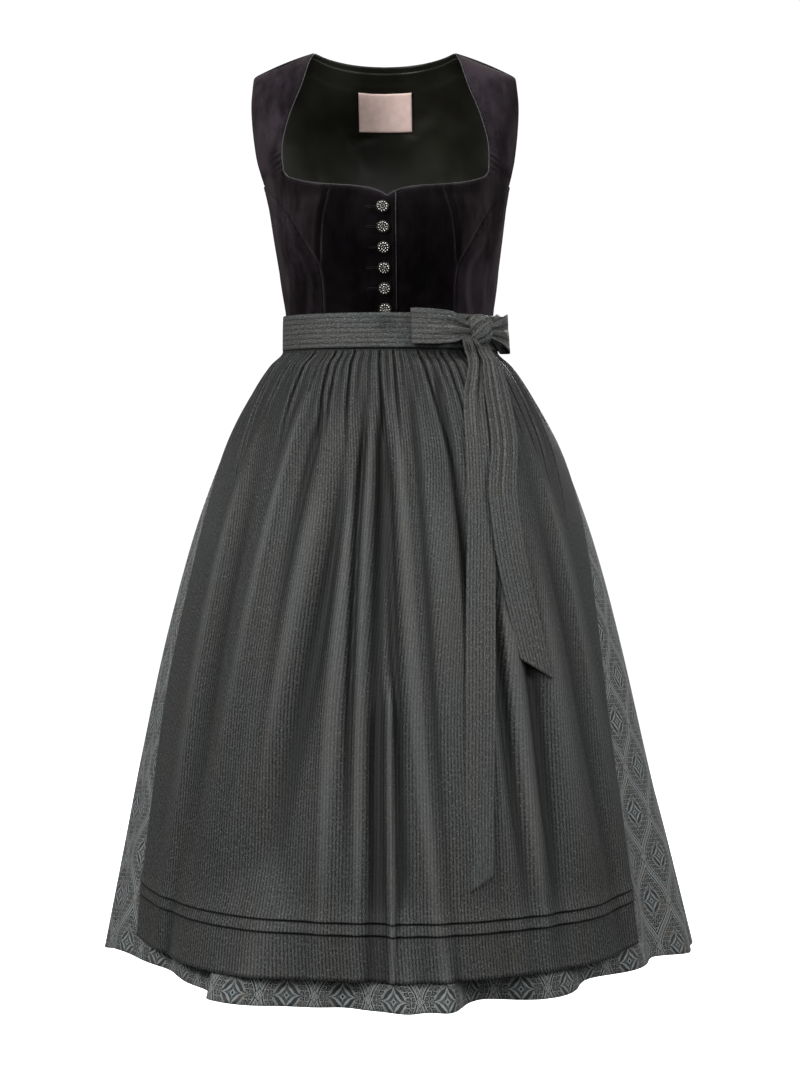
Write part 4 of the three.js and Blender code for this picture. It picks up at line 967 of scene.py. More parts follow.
def makeLabelPiece():
    rows = np.linspace(0.55, 0.98, 60)
    middleZ = backPoint(rows, 0 * rows)[:, 2]
    low, high = np.interp([label["bottomZ"], label["topZ"]], middleZ, rows)
    shares = np.linspace(-0.6, 0.6, 121)
    row, share = np.meshgrid(stretch((low, high, 26)), shares, indexing="ij")
    surface = backPoint(row, -share)
    surface = surface - outwardOf(surface) * label["inset"]
    across = stretch((-label["width"] / 2, label["width"] / 2, 38))
    points = np.empty((len(surface), len(across), 3))
    for i, line in enumerate(surface):
        order = np.argsort(line[:, 0])
        depths, heights = (np.interp(across, line[order, 0], line[order, k]) for k in (1, 2))
        points[i] = np.stack([across, depths, heights], axis=-1)
    points = points[:, ::-1]
    edge = np.minimum.reduce([edgeDistance(points, s) for s in ("start", "end", "low", "high")])
    wave = 0.4 * np.sin(points[..., 0] / 9) * np.cos(points[..., 2] / 13)
    points = points - outwardOf(points) * (wave - 0.5 * np.exp(-(edge / 1.6) ** 2))[..., None]
    clothPiece("neckLabel", points, [labelCloth], "label", "label", cloth["label"], "laid",
               restsOn=["backLining"])


makeLiningPiece()
makeLabelPiece()
print("lining and label made")

# Piping

piping = dict(radius=0.65, clear=0.15, sides=10)


def pipe(name, node, path):
    # a round tube along a path, its grid closed round and at both ends
    sides = piping["sides"]
    path = np.array(path, float)
    along = unit(np.gradient(path, axis=0))
    side = unit(np.cross(along, np.array([0.13, -0.7, 0.7])))
    other = np.cross(along, side)
    turn = np.linspace(0, 2 * math.pi, sides + 1)[None, :, None]
    points = path[:, None] + (np.cos(turn) * side[:, None] + np.sin(turn) * other[:, None]) * piping["radius"]
    length = float(lengthsUp(points)[-1, 0])
    obj = gridObject(name, points, flatMap(points, 1000, length), [pipingSatin])
    bm = bmesh.new()
    bm.from_mesh(obj.data)
    bmesh.ops.remove_doubles(bm, verts=bm.verts, dist=1e-6)
    bmesh.ops.holes_fill(bm, edges=[edge for edge in bm.edges if edge.is_boundary], sides=sides + 1)
    bmesh.ops.recalc_face_normals(bm, faces=bm.faces)
    bm.to_mesh(obj.data)
    bm.free()
    claim(obj, node)


def necklinePath(side):
    rise = piping["radius"] + piping["clear"]
    lapAngle = math.degrees(math.asin((lap["edgeX"] + rise) / lap["radius"]))
    if side < 0:
        start = np.array([-lapAngle + 0.35, -2, 0, 2, 5, 8])
    else:
        start = np.array([lapAngle + 0.2, 5, 8])
    angles = np.concatenate([start, [14, 22, 32, 42, 48, 51]])
    topZ = readTable(necklineFront, "angle", "z", np.abs(angles)) + rise
    edge = figurePoint(angles, topZ, -1.0)
    rises = np.array([0.04, 0.1, 0.2, 0.34, 0.5, 0.66, 0.82, 0.96])
    strap = strapPoint(0 * rises, rises)
    strap[:, 0] -= rise + 0.2
    path = [edge, strap]
    if side < 0:
        heights = np.linspace(band["topZ"] + 3, topZ[0] - 1.2, 9)
        path = [figurePoint(-lapAngle + 0 * heights, heights, -1.2)] + path
    path = np.concatenate(path)
    path[:, 0] *= side
    return drifted(catmullRom(list(path), np.linspace(0, 1, 260)))


def backPath():
    share = np.linspace(-0.96, 0.96, 120)
    path = backTop(np.abs(share) * (1 - backForm["shoulderShare"]))
    path[:, 0] *= np.sign(share)
    path[:, 2] += piping["radius"] - 0.6
    return drifted(path)


pipe("pipingRight", "piping_front_right", necklinePath(-1))
pipe("pipingLeft", "piping_front_left", necklinePath(1))
pipe("pipingBack", "piping_back", backPath())
print("piping made")

# Skirt

# Folds of the skirt, which only show near the hem under the apron
skirtFolds = table("topAngle hemAngle halfAngle startZ lift steep", [
    (1, 1.5, 3.4, -640, 15, 0), (7, 8.6, 2.9, -640, 20, 0), (17, 17.5, 6.4, -560, -40, 0),
    (37, 42, 6.6, -600, -34, 0), (60, 62, 6, -520, -18, 0), (76, 74, 5, -520, 5, 0),
    (-8, -10, 4, -620, -12, 0), (-22, -25, 5, -620, 10, 0), (-31, -34, 6.6, -600, 30, 1),
    (-52, -50, 5, -560, -12, 0), (-66, -68, 6, -520, 8, 0), (-80, -80, 4.5, -520, -8, 0),
    (92, 90, 5, -540, -6, 0), (106, 104, 6, -470, 14, 0), (121, 120, 6.5, -450, -26, 0),
    (137, 138, 7, -480, 20, 0), (152, 155, 6, -430, -28, 0), (168, 170, 6.5, -460, 22, 0),
    (-176, -174, 6, -450, -27, 0), (-160, -158, 7, -480, 19, 0), (-144, -142, 6.5, -440, -29, 0),
    (-127, -125, 6, -470, 21, 0), (-111, -108, 6.5, -450, -20, 0), (-96, -95, 5, -520, 3, 0),
])
# Long folds of the apron: where each begins and is full, and its share left at the hem
apronFolds = table("topAngle hemAngle half startZ fullZ hemShare lift", [
    (-9.5, -28, 4.0, -400, -560, 0.5, -12), (-17, -38, 5, -420, -620, 0.5, 5),
    (-12.2, -14, 2.2, -420, -540, 0.5, 8), (-9.4, -9.2, 1.3, -400, -520, 0.0, -8),
    (-6.4, -7.5, 1.5, -420, -540, 0.2, 7), (-3.4, -3.9, 2.0, -385, -490, 0.6, -14),
    (-1.2, 1.8, 1.9, -420, -580, 0.5, -10), (-0.6, -1.0, 0.8, -730, -790, 0.9, 11),
    (1.8, 7.5, 2.0, -420, -540, 0.6, 8), (13, 12.5, 4, -420, -600, 0.5, 4),
    (19.2, 19.6, 1.9, -385, -430, 0.2, -10), (24.8, 25, 1.8, -540, -660, 0.2, -11),
    (28.5, 28.5, 2.2, -600, -720, 0.3, 6), (34.5, 30.5, 2.6, -620, -740, 0.3, -10),
    (40, 40, 4, -500, -700, 0.4, 5), (-45, -46, 3.4, -440, -640, 0.3, -6),
    (46, 46, 3.4, -440, -640, 0.5, -5), (-25, -33, 2.2, -400, -470, 0.2, -6),
    (-33, -42, 2.6, -390, -450, 0.2, 6), (-52, -51, 2.4, -420, -560, 0.4, 5),
    (8, 9.8, 1.6, -400, -470, 0.3, -5), (52, 50, 2.6, -430, -560, 0.4, 5),
])
apronEdges = table("z right left", [
    (-1066, -58.2, 50.3), (-1008, -60.2, 51.2), (-886, -62.6, 54.2), (-776, -65.2, 57.4), (-690, -66.4, 61.4),
    (-610, -68.2, 67), (-552, -71.6, 73), (-490, -79, 81.5), (-420, -90, 90), (-362, -100, 98),
])


standing = dict(move=1.6, outer=0.42, inner=1.25)


def skirtLift(angle, z, bridged=0.0):
    # each fold fades in down the cloth, and a steep one stands up on its outer side unless it is bridged
    lift = np.zeros(np.broadcast(angle, z).shape)
    power = lerp(3.6, 1.15, ease(np.abs(angle), 40, 56))
    for top, end, half, startZ, height, steep in zip(*skirtFolds.values()):
        drop = np.clip((startZ - z) / (startZ - hem["skirtZ"]), 0, 1)
        away = (angle - lerp(top, end, drop) - steep * standing["move"] * drop + 180) % 360 - 180
        side = lerp(1, np.where(away < 0, standing["outer"], standing["inner"]), drop * steep * (1 - bridged))
        side = side * (1 + 1.3 * bridged * steep)
        lift += height * drop ** power * np.exp(-(away / (half * side)) ** 2)
    return lift


def apronFoldLift(angle, z):
    lift = np.zeros(np.broadcast(angle, z).shape)
    for top, end, half, startZ, fullZ, hemShare, height in zip(*apronFolds.values()):
        drop = np.clip((startZ - z) / (startZ - hem["apronZ"]), 0, 1)
        away = angle - lerp(top, end, drop)
        strength = ease(-z, -startZ, -fullZ) * lerp(1, hemShare, ease(-z, -fullZ + 120, -hem["apronZ"]))
        lift += height * strength * np.exp(-(away / half) ** 2)
    return lift


def skirtHemAt(angle):
    flank = (np.abs(angle) - 58) / 16
    corner = (angle + 68) / 10
    rise = 6 * np.sin(np.radians(angle)) ** 2
    return hem["skirtZ"] + rise + 9 * np.exp(-flank ** 2) + 8 * np.exp(-corner ** 2)


def gatherWave(phase, z, height, fadeZ):
    # pinched ridges under the waist, uneven in height and length
    number = np.floor(phase)
    uneven = 1 + 0.3 * np.sin(number * 2.4) + 0.18 * np.sin(number * 5.1 + 1)
    reach = fadeZ + 60 * np.sin(number * 3.7)
    grow = ease(band["bottomZ"] - z, 2, 22)
    fade = ease(z, reach, band["bottomZ"] - 30)
    wave = np.cos(2 * math.pi * phase)
    pinched = np.sign(wave) * np.abs(wave) ** 0.8
    return height * grow * fade * uneven * pinched


skirtLook = dict(columns=300, underApron=9, medallionAngle=-10.4,
                 front=dict(fromAngle=-90, gathers=16, height=0.8),
                 back=dict(fromAngle=90, gathers=25, height=3.4))


def underApron(angle, z):
    # the skirt sinks in a little where the apron hides it, to leave its folds room
    down = ease(-z, 400, 480) * (1 - ease(-z, 920, 1030))
    return skirtLook["underApron"] * down * (1 - ease(np.abs(angle), 36, 48))


def makeSkirtPart(name, node, part):
    look = skirtLook[part]
    share, column = np.meshgrid(stretch((0, 0.1, 24), (0.1, 0.88, 60), (0.88, 1, 26)),
                                stretch((0, 1, skirtLook["columns"])), indexing="ij")
    angle = look["fromAngle"] + 180 * column
    around = np.where(angle > 180, angle - 360, angle)
    z = lerp(skirtHemAt(around), seam["waistZ"] - seam["gap"], share)
    phase = column * look["gathers"]
    lift = skirtLift(around, z) + gatherWave(phase, z, look["height"], -600)
    lift += 0.35 * look["height"] * gatherWave(phase * 2.3 + 0.3, z, 1, -430)
    points = figurePoint(angle, z, lift - underApron(around, z))
    across = lengthsAcross(points)[0]
    length = float(np.median(lengthsUp(points)[-1]))
    start = np.interp(skirtLook["medallionAngle"], angle[0], across) if part == "front" else 0
    uv = flatMap(points, 1, length)
    uv[..., 0] = (across - start)[None, :]
    clothPiece(name, points, [jacquard], node, "jacquard", cloth["skirt"], "gathered",
               flat=(float(across[-1]), length), area=patchArea(points), alongUv=uv)


makeSkirtPart("skirtFront", "skirt_front", "front")
makeSkirtPart("skirtBack", "skirt_back", "back")
print("skirt made")

# Apron

apronLook = dict(columns=400, soften=2.2, standOff=10, flankOff=4, topLift=4, tucks=(61, 48), tuckRise=1.9,
                 bodyLength=633, hemZone=72)
# Pleats down from the band: the angle of each there, how far it leans, its length, depth and width
pleats = table("at lean length depth half", [
    (-87, -2, 130, 2.8, 1.5), (-78, -5, 120, 3.4, 1.4), (-69.6, -7.4, 190, 5.0, 1.4),
    (-63, -6, 80, 3.0, 1.1), (-55.7, -8, 100, 4.8, 1.2), (-49.5, -6, 60, 2.8, 0.9),
    (-43, -8, 130, 5.2, 1.2), (-38.7, -5, 60, 2.6, 0.8), (-34.8, -4, 70, 4.2, 0.9),
    (-29.5, -3.5, 140, 5.4, 1.1), (-25.3, -4, 120, 4.2, 0.9), (-21.8, -2, 60, 2.6, 0.8),
    (-18.4, -2, 140, 5.4, 1.1), (-14, -1.5, 70, 3.2, 0.9), (-10, 0, 80, 3.4, 0.9),
    (-5.4, 1.2, 160, 5.4, 1.0), (-2, 0.5, 60, 2.6, 0.8), (1.3, 0, 150, 5.0, 1.0), (5, 0, 60, 2.8, 0.8),
    (9, 2, 80, 3.2, 0.9), (14.4, 10.7, 230, 5.6, 1.2), (18.5, 6, 90, 3.2, 1.0), (22.5, 4, 70, 3.2, 1.0),
    (26.7, 5, 150, 4.4, 1.1), (31.6, 5, 200, 4.4, 1.2), (37.3, 4, 100, 3.6, 1.2), (43, 3, 110, 3.6, 1.2),
    (48, 5, 160, 4.4, 1.3), (54, 4, 120, 3.8, 1.3), (61, 3, 150, 4.2, 1.3), (67.5, 2, 190, 5.2, 1.2),
    (73, 1, 80, 3.0, 1.1), (79.5, 0, 240, 5.4, 1.3), (87, 0, 120, 3.0, 1.6),
])


def apronHemAt(share):
    return hem["apronZ"] + 13 * np.abs(2 * share - 1) ** 7


def apronLift(angle, z):
    below = ease(-z, -band["bottomZ"], -band["bottomZ"] + 20)
    off = lerp(apronLook["standOff"], apronLook["flankOff"], ease(np.abs(angle), 40, 74))
    own = apronFoldLift(angle, z) + lerp(off, 7.5, ease(-z, 880, 1040)) * below
    under = np.maximum(skirtLift(angle, z), skirtLift(angle, z, 1.0) * 0.96)
    clear = under - underApron(angle, z) + lerp(2, 4, ease(-z, 420, 900))
    soft = apronLook["soften"]
    smooth = soft * np.log(np.exp(own / soft) + np.exp(clear / soft))
    return lerp(apronLook["topLift"], smooth, below)


def pleatLift(topAngle, z):
    # a steep side and a gentle side, deepest just under the band, and the short pleats shallow
    down = band["bottomZ"] - z
    lift = np.zeros(np.broadcast(topAngle, z).shape)
    for at, lean, length, depth, half in zip(*pleats.values()):
        depth *= lerp(0.45, 1, min(1, (length - 60) / 60))
        half *= 0.72
        away = topAngle - at - lean * np.clip(down / length, 0, 1.2)
        side = np.where(away * (1 if at < 0 else -1) > 0, 0.45, 1.15) * half
        ridge = 0.32 * np.exp(-((np.abs(away) - 2.0 * half) / (1.1 * half)) ** 2)
        strength = ease(down, 0.5, 9) * (1 - ease(down, 0.3 * length, length))
        lift += depth * strength * (ridge - np.exp(-(away / side) ** 2))
    return lift


def heights(lift, reach):
    # how each place stands against the cloth on both sides of it: half is level
    steps = np.arange(-3 * reach, 3 * reach + 1)
    weights = np.exp(-(steps / reach) ** 2)
    padded = np.pad(lift, ((0, 0), (3 * reach, 3 * reach)), mode="edge")
    around = sum(w * padded[:, k:k + lift.shape[1]] for k, w in enumerate(weights)) / weights.sum()
    return lift - around


def makeApron():
    look = apronLook
    top = band["bottomZ"] - seam["gap"]
    down = stretch((0, 60, 24), (60, 180, 28), (180, 560, 38), (560, look["bodyLength"], 8))
    above = [68, 64.5, 62.2, 61.2, 60.2, 58.5, 55, 51.5, 49.2, 48.2, 47.2, 45.5, 42, 34, 24, 12, 4, 0]
    share = stretch((0, 1, look["columns"]))
    apronHem = apronHemAt(share)[None, :]
    upper = top - down[:, None] / look["bodyLength"] * (top - (apronHem + look["hemZone"]))
    z = np.concatenate([upper, apronHem + np.array(above)[:, None]])
    share = np.broadcast_to(share[None, :], z.shape)
    angle = lerp(readTable(apronEdges, "z", "right", z), readTable(apronEdges, "z", "left", z), share)
    topAngle = lerp(band["right"], band["left"], share)
    lift = apronLift(angle, z) + pleatLift(topAngle, z)
    fine = np.cos(topAngle * 3.1 + 3.4 * wander(topAngle / 2.3, 1)) * (0.55 + 0.5 * wander(topAngle / 3.1, 3))
    lift += 0.8 * fine * ease(top - z, 0.5, 4) * (1 - ease(top - z, 14 + 10 * wander(topAngle / 4, 6), 58))
    fromHem = z - apronHem
    # fold heights for the painted shade and highlight on the folds
    fold = np.clip(0.5 + heights(lift, 22) / 17 + heights(lift, 4) / 4.5, 0, 1)
    # painted shade near the top, under the band
    fold -= 0.33 * (1 - ease(top - z, 30, 220))
    for tuck in look["tucks"]:
        # painted shadow line along the tuck's edge
        fold -= 1.3 * np.exp(-((fromHem - tuck + 0.3) / 0.8) ** 2)
        overlap = np.exp(-(np.maximum(fromHem - tuck, 0) / 9) ** 2) * (fromHem > tuck - 0.4)
        lift += look["tuckRise"] * overlap
    lift += 0.6 * np.exp(-(fromHem / 2.2) ** 2)
    points = figurePoint(angle, z, lift)[::-1]
    length = float(np.median(lengthsUp(points)[-1]))
    width = float(lengthsAcross(points)[0, -1])
    clothPiece("apronPanel", points, [apronCloth], "apron_panel", "apron", cloth["apron"], "gathered",
               flat=(width, length), area=patchArea(points), restsOn=["skirtFront"],
               marks=dict(fold=fold[::-1]))


makeApron()
print("apron made")

# Waistband, ties and bow

bandOffset = seam["gap"] + 1.2
overBand = bandOffset + seam["gap"] + 1.2
buttonForm = dict(x=-5.5, firstZ=-198, pitch=23.8, count=6, radius=7.5, height=4.6)


def waistPoint(angle, z, offset):
    lean = (band["topZ"] - z) / band["width"]
    point = figurePoint(angle, band["topZ"] + 0 * z, offset + 0.7 + 1.4 * lean)
    near = np.where(np.abs(angle) < 30, np.exp(-((point[..., 0] - buttonForm["x"]) / 12) ** 2), 0)
    high = 1 - ease(-z, -band["topZ"], -band["topZ"] + 24)
    point[..., 1] -= (4.9 + offset * 0.4) * near * high
    point[..., 2] = z
    return point


def tieLayer(angle):
    side = np.abs(np.where(angle > 180, angle - 360, angle))
    return lerp(overBand, bandOffset, ease(side, 101, 116))


def slantedEnd(angle, z):
    middle = (band["topZ"] + band["bottomZ"]) / 2
    reach = 1 - ease(np.abs(angle - 180), 0, 30)
    return angle + reach * 7 * (z - middle) / (band["width"] / 2)


def makeBandPiece(name, node, fromAngle, toAngle, layer, slanted=False, restsOn=()):
    columns = max(12, int((toAngle - fromAngle) * 1.1))
    z, angle = np.meshgrid(stretch((band["bottomZ"], band["topZ"], 18)),
                           stretch((fromAngle, toAngle, columns)), indexing="ij")
    if slanted:
        angle = slantedEnd(angle, z)
    offset = layer(angle)
    middle = (z - band["bottomZ"]) / band["width"]
    slack = 0.35 * wander(angle / 9 + middle * 2, fromAngle) * np.sin(middle * math.pi)
    rim = -0.5 * (np.exp(-(middle / 0.03) ** 2) + np.exp(-((1 - middle) / 0.03) ** 2))
    hemLine = -0.25 * (np.exp(-((middle - 0.1) / 0.02) ** 2) + np.exp(-((middle - 0.9) / 0.02) ** 2))
    points = waistPoint(angle, z, offset + slack * 0.8 + rim + hemLine)
    clothPiece(name, points, [tieCloth], node, "tie", cloth["tie"], "stretched", restsOn=restsOn)


makeBandPiece("apronBand", "waistband", band["right"], band["left"], lambda angle: bandOffset + 0 * angle)
makeBandPiece("tieLeftFront", "tie_left_front", -100, 46.4, tieLayer, restsOn=["waistband"])
makeBandPiece("tieRightFront", "tie_right_front", 61.6, 110, tieLayer, restsOn=["waistband"])
makeBandPiece("tieRightBack", "tie_right_back", 110.15, 179.9, tieLayer, slanted=True)
makeBandPiece("tieLeftBack", "tie_left_back", 180.1, 259.85, tieLayer, slanted=True)
print("band and ties made")

# Folds of the knot: how deep, where on its slant and how wide
knot = dict(angle=51.2, z=-340, out=10, facing=28, halfWidth=17, halfDepth=8.6, halfHeight=18.5, slant=15,
            folds=[(0.16, 0.2, 0.07), (0.13, -0.5, 0.07), (0.08, 0.62, 0.06), (-0.05, -0.14, 0.22)])


def makeKnot():
    # the wrapped turn of the tie: a rounded pad, drawn in where it goes round the band
    bm = bmesh.new()
    bmesh.ops.create_uvsphere(bm, u_segments=72, v_segments=48, radius=1)
    uv = bm.loops.layers.uv.new("cloth")
    middle = waistPoint(np.array(knot["angle"]), np.array(float(knot["z"])), bandOffset + knot["out"])
    facing = math.radians(knot["facing"])
    shapes = {}
    for vert in bm.verts:
        across, up, out = vert.co.x, vert.co.z, -vert.co.y
        boxed = [math.copysign(abs(value) ** 0.78, value) for value in (across, out, up)]
        slant = across * -0.55 + up * 0.83
        fold = sum(deep * math.exp(-((slant - at) / wide) ** 2) for deep, at, wide in knot["folds"])
        size = 1 - fold * max(0.0, out + 0.35)
        halves = (knot["halfWidth"], knot["halfDepth"], knot["halfHeight"])
        shapes[vert.index] = (*(part * half * size for part, half in zip(boxed, halves)), slant)
    for face in bm.faces:
        for loop in face.loops:
            across, out, up, slant = shapes[loop.vert.index]
            loop[uv].uv = ((across * 0.83 + up * 0.55) * mm, slant * knot["slant"] * mm)
    for vert in bm.verts:
        across, out, up, slant = shapes[vert.index]
        x = middle[0] + across * math.cos(facing) + out * math.sin(facing)
        y = middle[1] + across * math.sin(facing) - out * math.cos(facing)
        place = drifted(np.array([x, y, knot["z"] + up]))
        vert.co = Vector(place * mm)
    claim(placeMesh("bowKnot", bm, [tieCloth]), "bow_knot")


makeKnot()

# Loops of the bow: out from the knot against the band, round the far end and back
loopRows = {
    "right": table("angle lowZ highZ inner outer", [
        (47.4, -348, -333, 2.4, 6.6), (40, -351, -329, 2.6, 9.5), (32, -357, -320, 1.8, 14.5),
        (22, -359, -317, 1.7, 13), (14, -359, -316, 1.7, 9.5), (11.6, -359, -316, 3.2, 7)]),
    "left": table("angle lowZ highZ inner outer", [
        (60.8, -349, -333, 2.4, 6.6), (69, -355, -327, 2.6, 11.5), (76, -361, -321, 1.9, 13.5),
        (84, -365, -318, 2.2, 13.5), (90, -366, -319, 3.5, 12), (93, -366, -320, 5.5, 9)]),
}
loopFolds = [(0.22, -2.2, 0.04), (0.42, 1.6, 0.06), (0.6, -2.6, 0.04), (0.8, 1.4, 0.05)]


def smoothThrough(values, place):
    i = np.clip(np.floor(place).astype(int), 0, len(values) - 2)
    t = place - i
    padded = np.concatenate([[2 * values[0] - values[1]], values, [2 * values[-1] - values[-2]]])
    a, b, c, d = padded[i], padded[i + 1], padded[i + 2], padded[i + 3]
    return b + 0.5 * t * (c - a + t * (2 * a - 5 * b + 4 * c - d + t * (3 * (b - c) + d - a)))


def makeLoop(name, node, side):
    rows = loopRows[side]
    inner, outer = (np.transpose([rows[key] for key in ("angle", "lowZ", "highZ", layer)])
                    for layer in ("inner", "outer"))
    stations = np.concatenate([inner, outer[::-1]])
    place = np.linspace(0, len(stations) - 1, 130)
    at = np.stack([smoothThrough(stations[:, k], place) for k in range(4)], axis=-1)
    share = stretch((0, 1, 26))
    along = np.linspace(0, 1, len(place))
    z = at[:, 1:2] + (at[:, 2:3] - at[:, 1:2]) * share[None, :]
    angle = np.broadcast_to(at[:, 0:1], z.shape)
    onOuter = ease(along, 0.5, 0.6)[:, None]
    nearKnot = (1 - ease(np.abs(along - np.round(along)), 0.05, 0.34))[:, None]
    lift = np.zeros(z.shape)
    for centre, height, half in loopFolds:
        lift += height * np.exp(-((share[None, :] - centre) / (half + 0.04)) ** 2)
    lift = lift * nearKnot * onOuter + 0.4 * np.sin(share * 5 + 1)[None, :] * onOuter * (1 - nearKnot)
    points = waistPoint(angle, z, overBand + at[:, 3:4] + lift)
    if side == "left":
        points = points[:, ::-1]
    length = float(lengthsUp(points)[-1, 13])
    lengths = np.linspace(0, length, len(place))[:, None]
    uv = np.stack(np.broadcast_arrays(lengths, share[None, :] * band["width"]), axis=-1)
    if side == "left":
        uv = uv[:, ::-1]
    clothPiece(name, points, [tieCloth], node, "tie", cloth["tie"], "folded", flat=(band["width"], length),
               alongUv=uv, area=patchArea(points))


makeLoop("bowLoopRight", "bow_loop_right", "right")
makeLoop("bowLoopLeft", "bow_loop_left", "left")

# Hanging ends from the knot down, and their folds: where across, how high, how wide and how long
tails = {
    "long": dict(layer=0, slant=18, rows=table("z middle half stand", [
        (-345, 43, 6, 12), (-350, 42.5, 10, 17), (-358, 43, 13, 20), (-368, 44.2, 14, 18.5),
        (-380, 42.4, 13.5, 15.5), (-392, 39.6, 13.8, 13.5), (-420, 34, 15.5, 11), (-470, 29.2, 17, 13),
        (-540, 25.6, 18, 13.5), (-640, 21.8, 18.5, 14), (-760, 19, 18.5, 14), (-880, 16.8, 17.5, 12),
        (-958, 15.4, 16.5, 10)]),
        folds=[(0.24, -3.4, 0.06, 130), (0.46, 2.0, 0.08, 220), (0.66, -3.2, 0.05, 130),
               (0.86, 1.4, 0.06, 300)]),
    "short": dict(layer=2.2, slant=-24, rows=table("z middle half stand", [
        (-355, 52, 9, 12), (-362, 51.5, 11, 17), (-372, 50.5, 12.5, 20), (-392, 47, 16, 18),
        (-420, 43.3, 18.3, 16), (-470, 38.6, 19, 15.5), (-540, 32.2, 20, 15.5), (-600, 31.2, 20.5, 14.5),
        (-660, 32.2, 21, 12), (-722, 33.6, 21, 12)]),
        folds=[(0.2, -2.4, 0.05, 220), (0.44, -2.8, 0.05, 300), (0.6, 1.4, 0.08, 240),
               (0.78, -2.0, 0.05, 200)]),
}


def makeTail(name, node, which):
    tail = tails[which]
    rows = tail["rows"]
    endZ, topZ = rows["z"][-1], rows["z"][0]
    baseZ, share = np.meshgrid(stretch((endZ, topZ, 150)), stretch((0, 1, 26)), indexing="ij")
    middle = readTable(rows, "z", "middle", baseZ)
    half = readTable(rows, "z", "half", baseZ)
    stand = readTable(rows, "z", "stand", baseZ) + tail["layer"]
    nearEnd = 1 - ease(baseZ, endZ, endZ + 60)
    drop = np.abs(tail["slant"]) * np.where(tail["slant"] > 0, 1 - share, share) * nearEnd
    z = baseZ - drop
    centre = figurePoint(middle, z, stand)
    across = figurePoint(middle + 1, z, stand) - centre
    across[..., 2] = 0
    outward = figurePoint(middle, z, stand + 1) - centre
    down = topZ - baseZ
    lift = 1.0 * 4 * share * (1 - share)
    for at, height, width, reach in tail["folds"]:
        fade = (1 - ease(down, 0.3 * reach, reach)) * ease(down, 0, 14)
        lift = lift + height * np.exp(-((share - at) / width) ** 2) * fade
    lift = lift + 0.8 * wander(down / 60 + share, 3) * ease(down, 60, 140)
    points = centre + unit(across) * ((2 * share - 1) * half)[..., None] + outward * lift[..., None]
    length = float(lengthsUp(points)[-1, 13])
    uv = np.stack(np.broadcast_arrays(down, share * band["width"]), axis=-1)
    clothPiece(name, points, [tailCloth], node, "tie", cloth["tie"], "hung", flat=(band["width"], length),
               alongUv=uv, restsOn=["bowKnot", "apronPanel"], area=patchArea(points))


makeTail("tieEndLong", "tie_end_long", "long")
makeTail("tieEndShort", "tie_end_short", "short")
print("bow made")

# Buttons: a domed rosette with a beaded rim

rosette = dict(rings=[(5.4, 11, 1.05), (2.6, 6, 0.85)], beadHeight=1.3, rimRadius=7.3, steps=110)


def rosetteRise(r, turn):
    # beads in rings round a middle one
    rise = math.exp(-(r / 0.62) ** 2) + 0.6 * math.exp(-((r - rosette["rimRadius"]) / 0.25) ** 2)
    for ringRadius, count, half in rosette["rings"]:
        part = 2 * math.pi / count
        along = ((turn + ringRadius * 0.7) % part - part / 2) * r
        rise = max(rise, math.exp(-(((r - ringRadius) / half) ** 2 + (along / half) ** 2)))
    return rise


def makeButton(number):
    z = buttonForm["firstZ"] - buttonForm["pitch"] * number
    radius, height = buttonForm["radius"], buttonForm["height"]
    bm = bmesh.new()
    rounds = [radius * (1 - k / 30) for k in range(31)]
    profile = [(0, 0), (0.8 * radius, 0), (radius, 0.5)]
    profile += [(r, 1.1 + (height - 1.7) * math.sqrt(max(0, 1 - (r / radius) ** 2))) for r in rounds]
    verts = [bm.verts.new((r * mm, 0, h * mm)) for r, h in profile]
    edges = [bm.edges.new(pair) for pair in zip(verts, verts[1:])]
    bmesh.ops.spin(bm, geom=verts + edges, cent=(0, 0, 0), axis=(0, 0, 1), angle=2 * math.pi,
                   steps=rosette["steps"], use_merge=True)
    bmesh.ops.remove_doubles(bm, verts=bm.verts, dist=1e-6)
    bmesh.ops.recalc_face_normals(bm, faces=bm.faces)
    raised = bm.verts.layers.float.new("raised")
    for vert in bm.verts:
        if vert.co.z < 1.05 * mm:
            vert[raised] = 0.4
            continue
        rise = rosetteRise(math.hypot(vert.co.x, vert.co.y) / mm, math.atan2(vert.co.y, vert.co.x))
        vert[raised] = rise
        vert.co.z += rise * rosette["beadHeight"] * mm
    angle = math.degrees(math.asin(buttonForm["x"] / lap["radius"]))
    foot = drifted(figurePoint(np.array(angle), np.array(float(z)), 0.5))
    over = drifted(figurePoint(np.array(angle), np.array(float(z) + radius)))
    under = drifted(figurePoint(np.array(angle), np.array(float(z) - radius)))
    way = np.cross((1, 0, 0), over - under)
    turnTo = Vector((0, 0, 1)).rotation_difference(Vector(way).normalized()).to_matrix().to_4x4()
    bmesh.ops.transform(bm, matrix=Matrix.Translation(Vector(foot * mm)) @ turnTo, verts=bm.verts)
    claim(placeMesh(f"button{number + 1}", bm, [pewter]), f"button_{number + 1}")


for number in range(buttonForm["count"]):
    makeButton(number)
print("buttons made")

# Sewing: topstitch beside the edges, and worked buttonholes

sewing = dict(length=2.0, pitch=3.0, radius=0.24, inset=3.2, holeLength=12.5, holeHeight=2.0, holeX=-19.5,
              holeStitch=(1.1, 0.7, 0.34))


def onFront(x, z, offset):
    angle = np.degrees(np.arcsin(x / readTable(figure, "z", "halfWidth", z)))
    point = drifted(figurePoint(angle, z, offset))
    return point


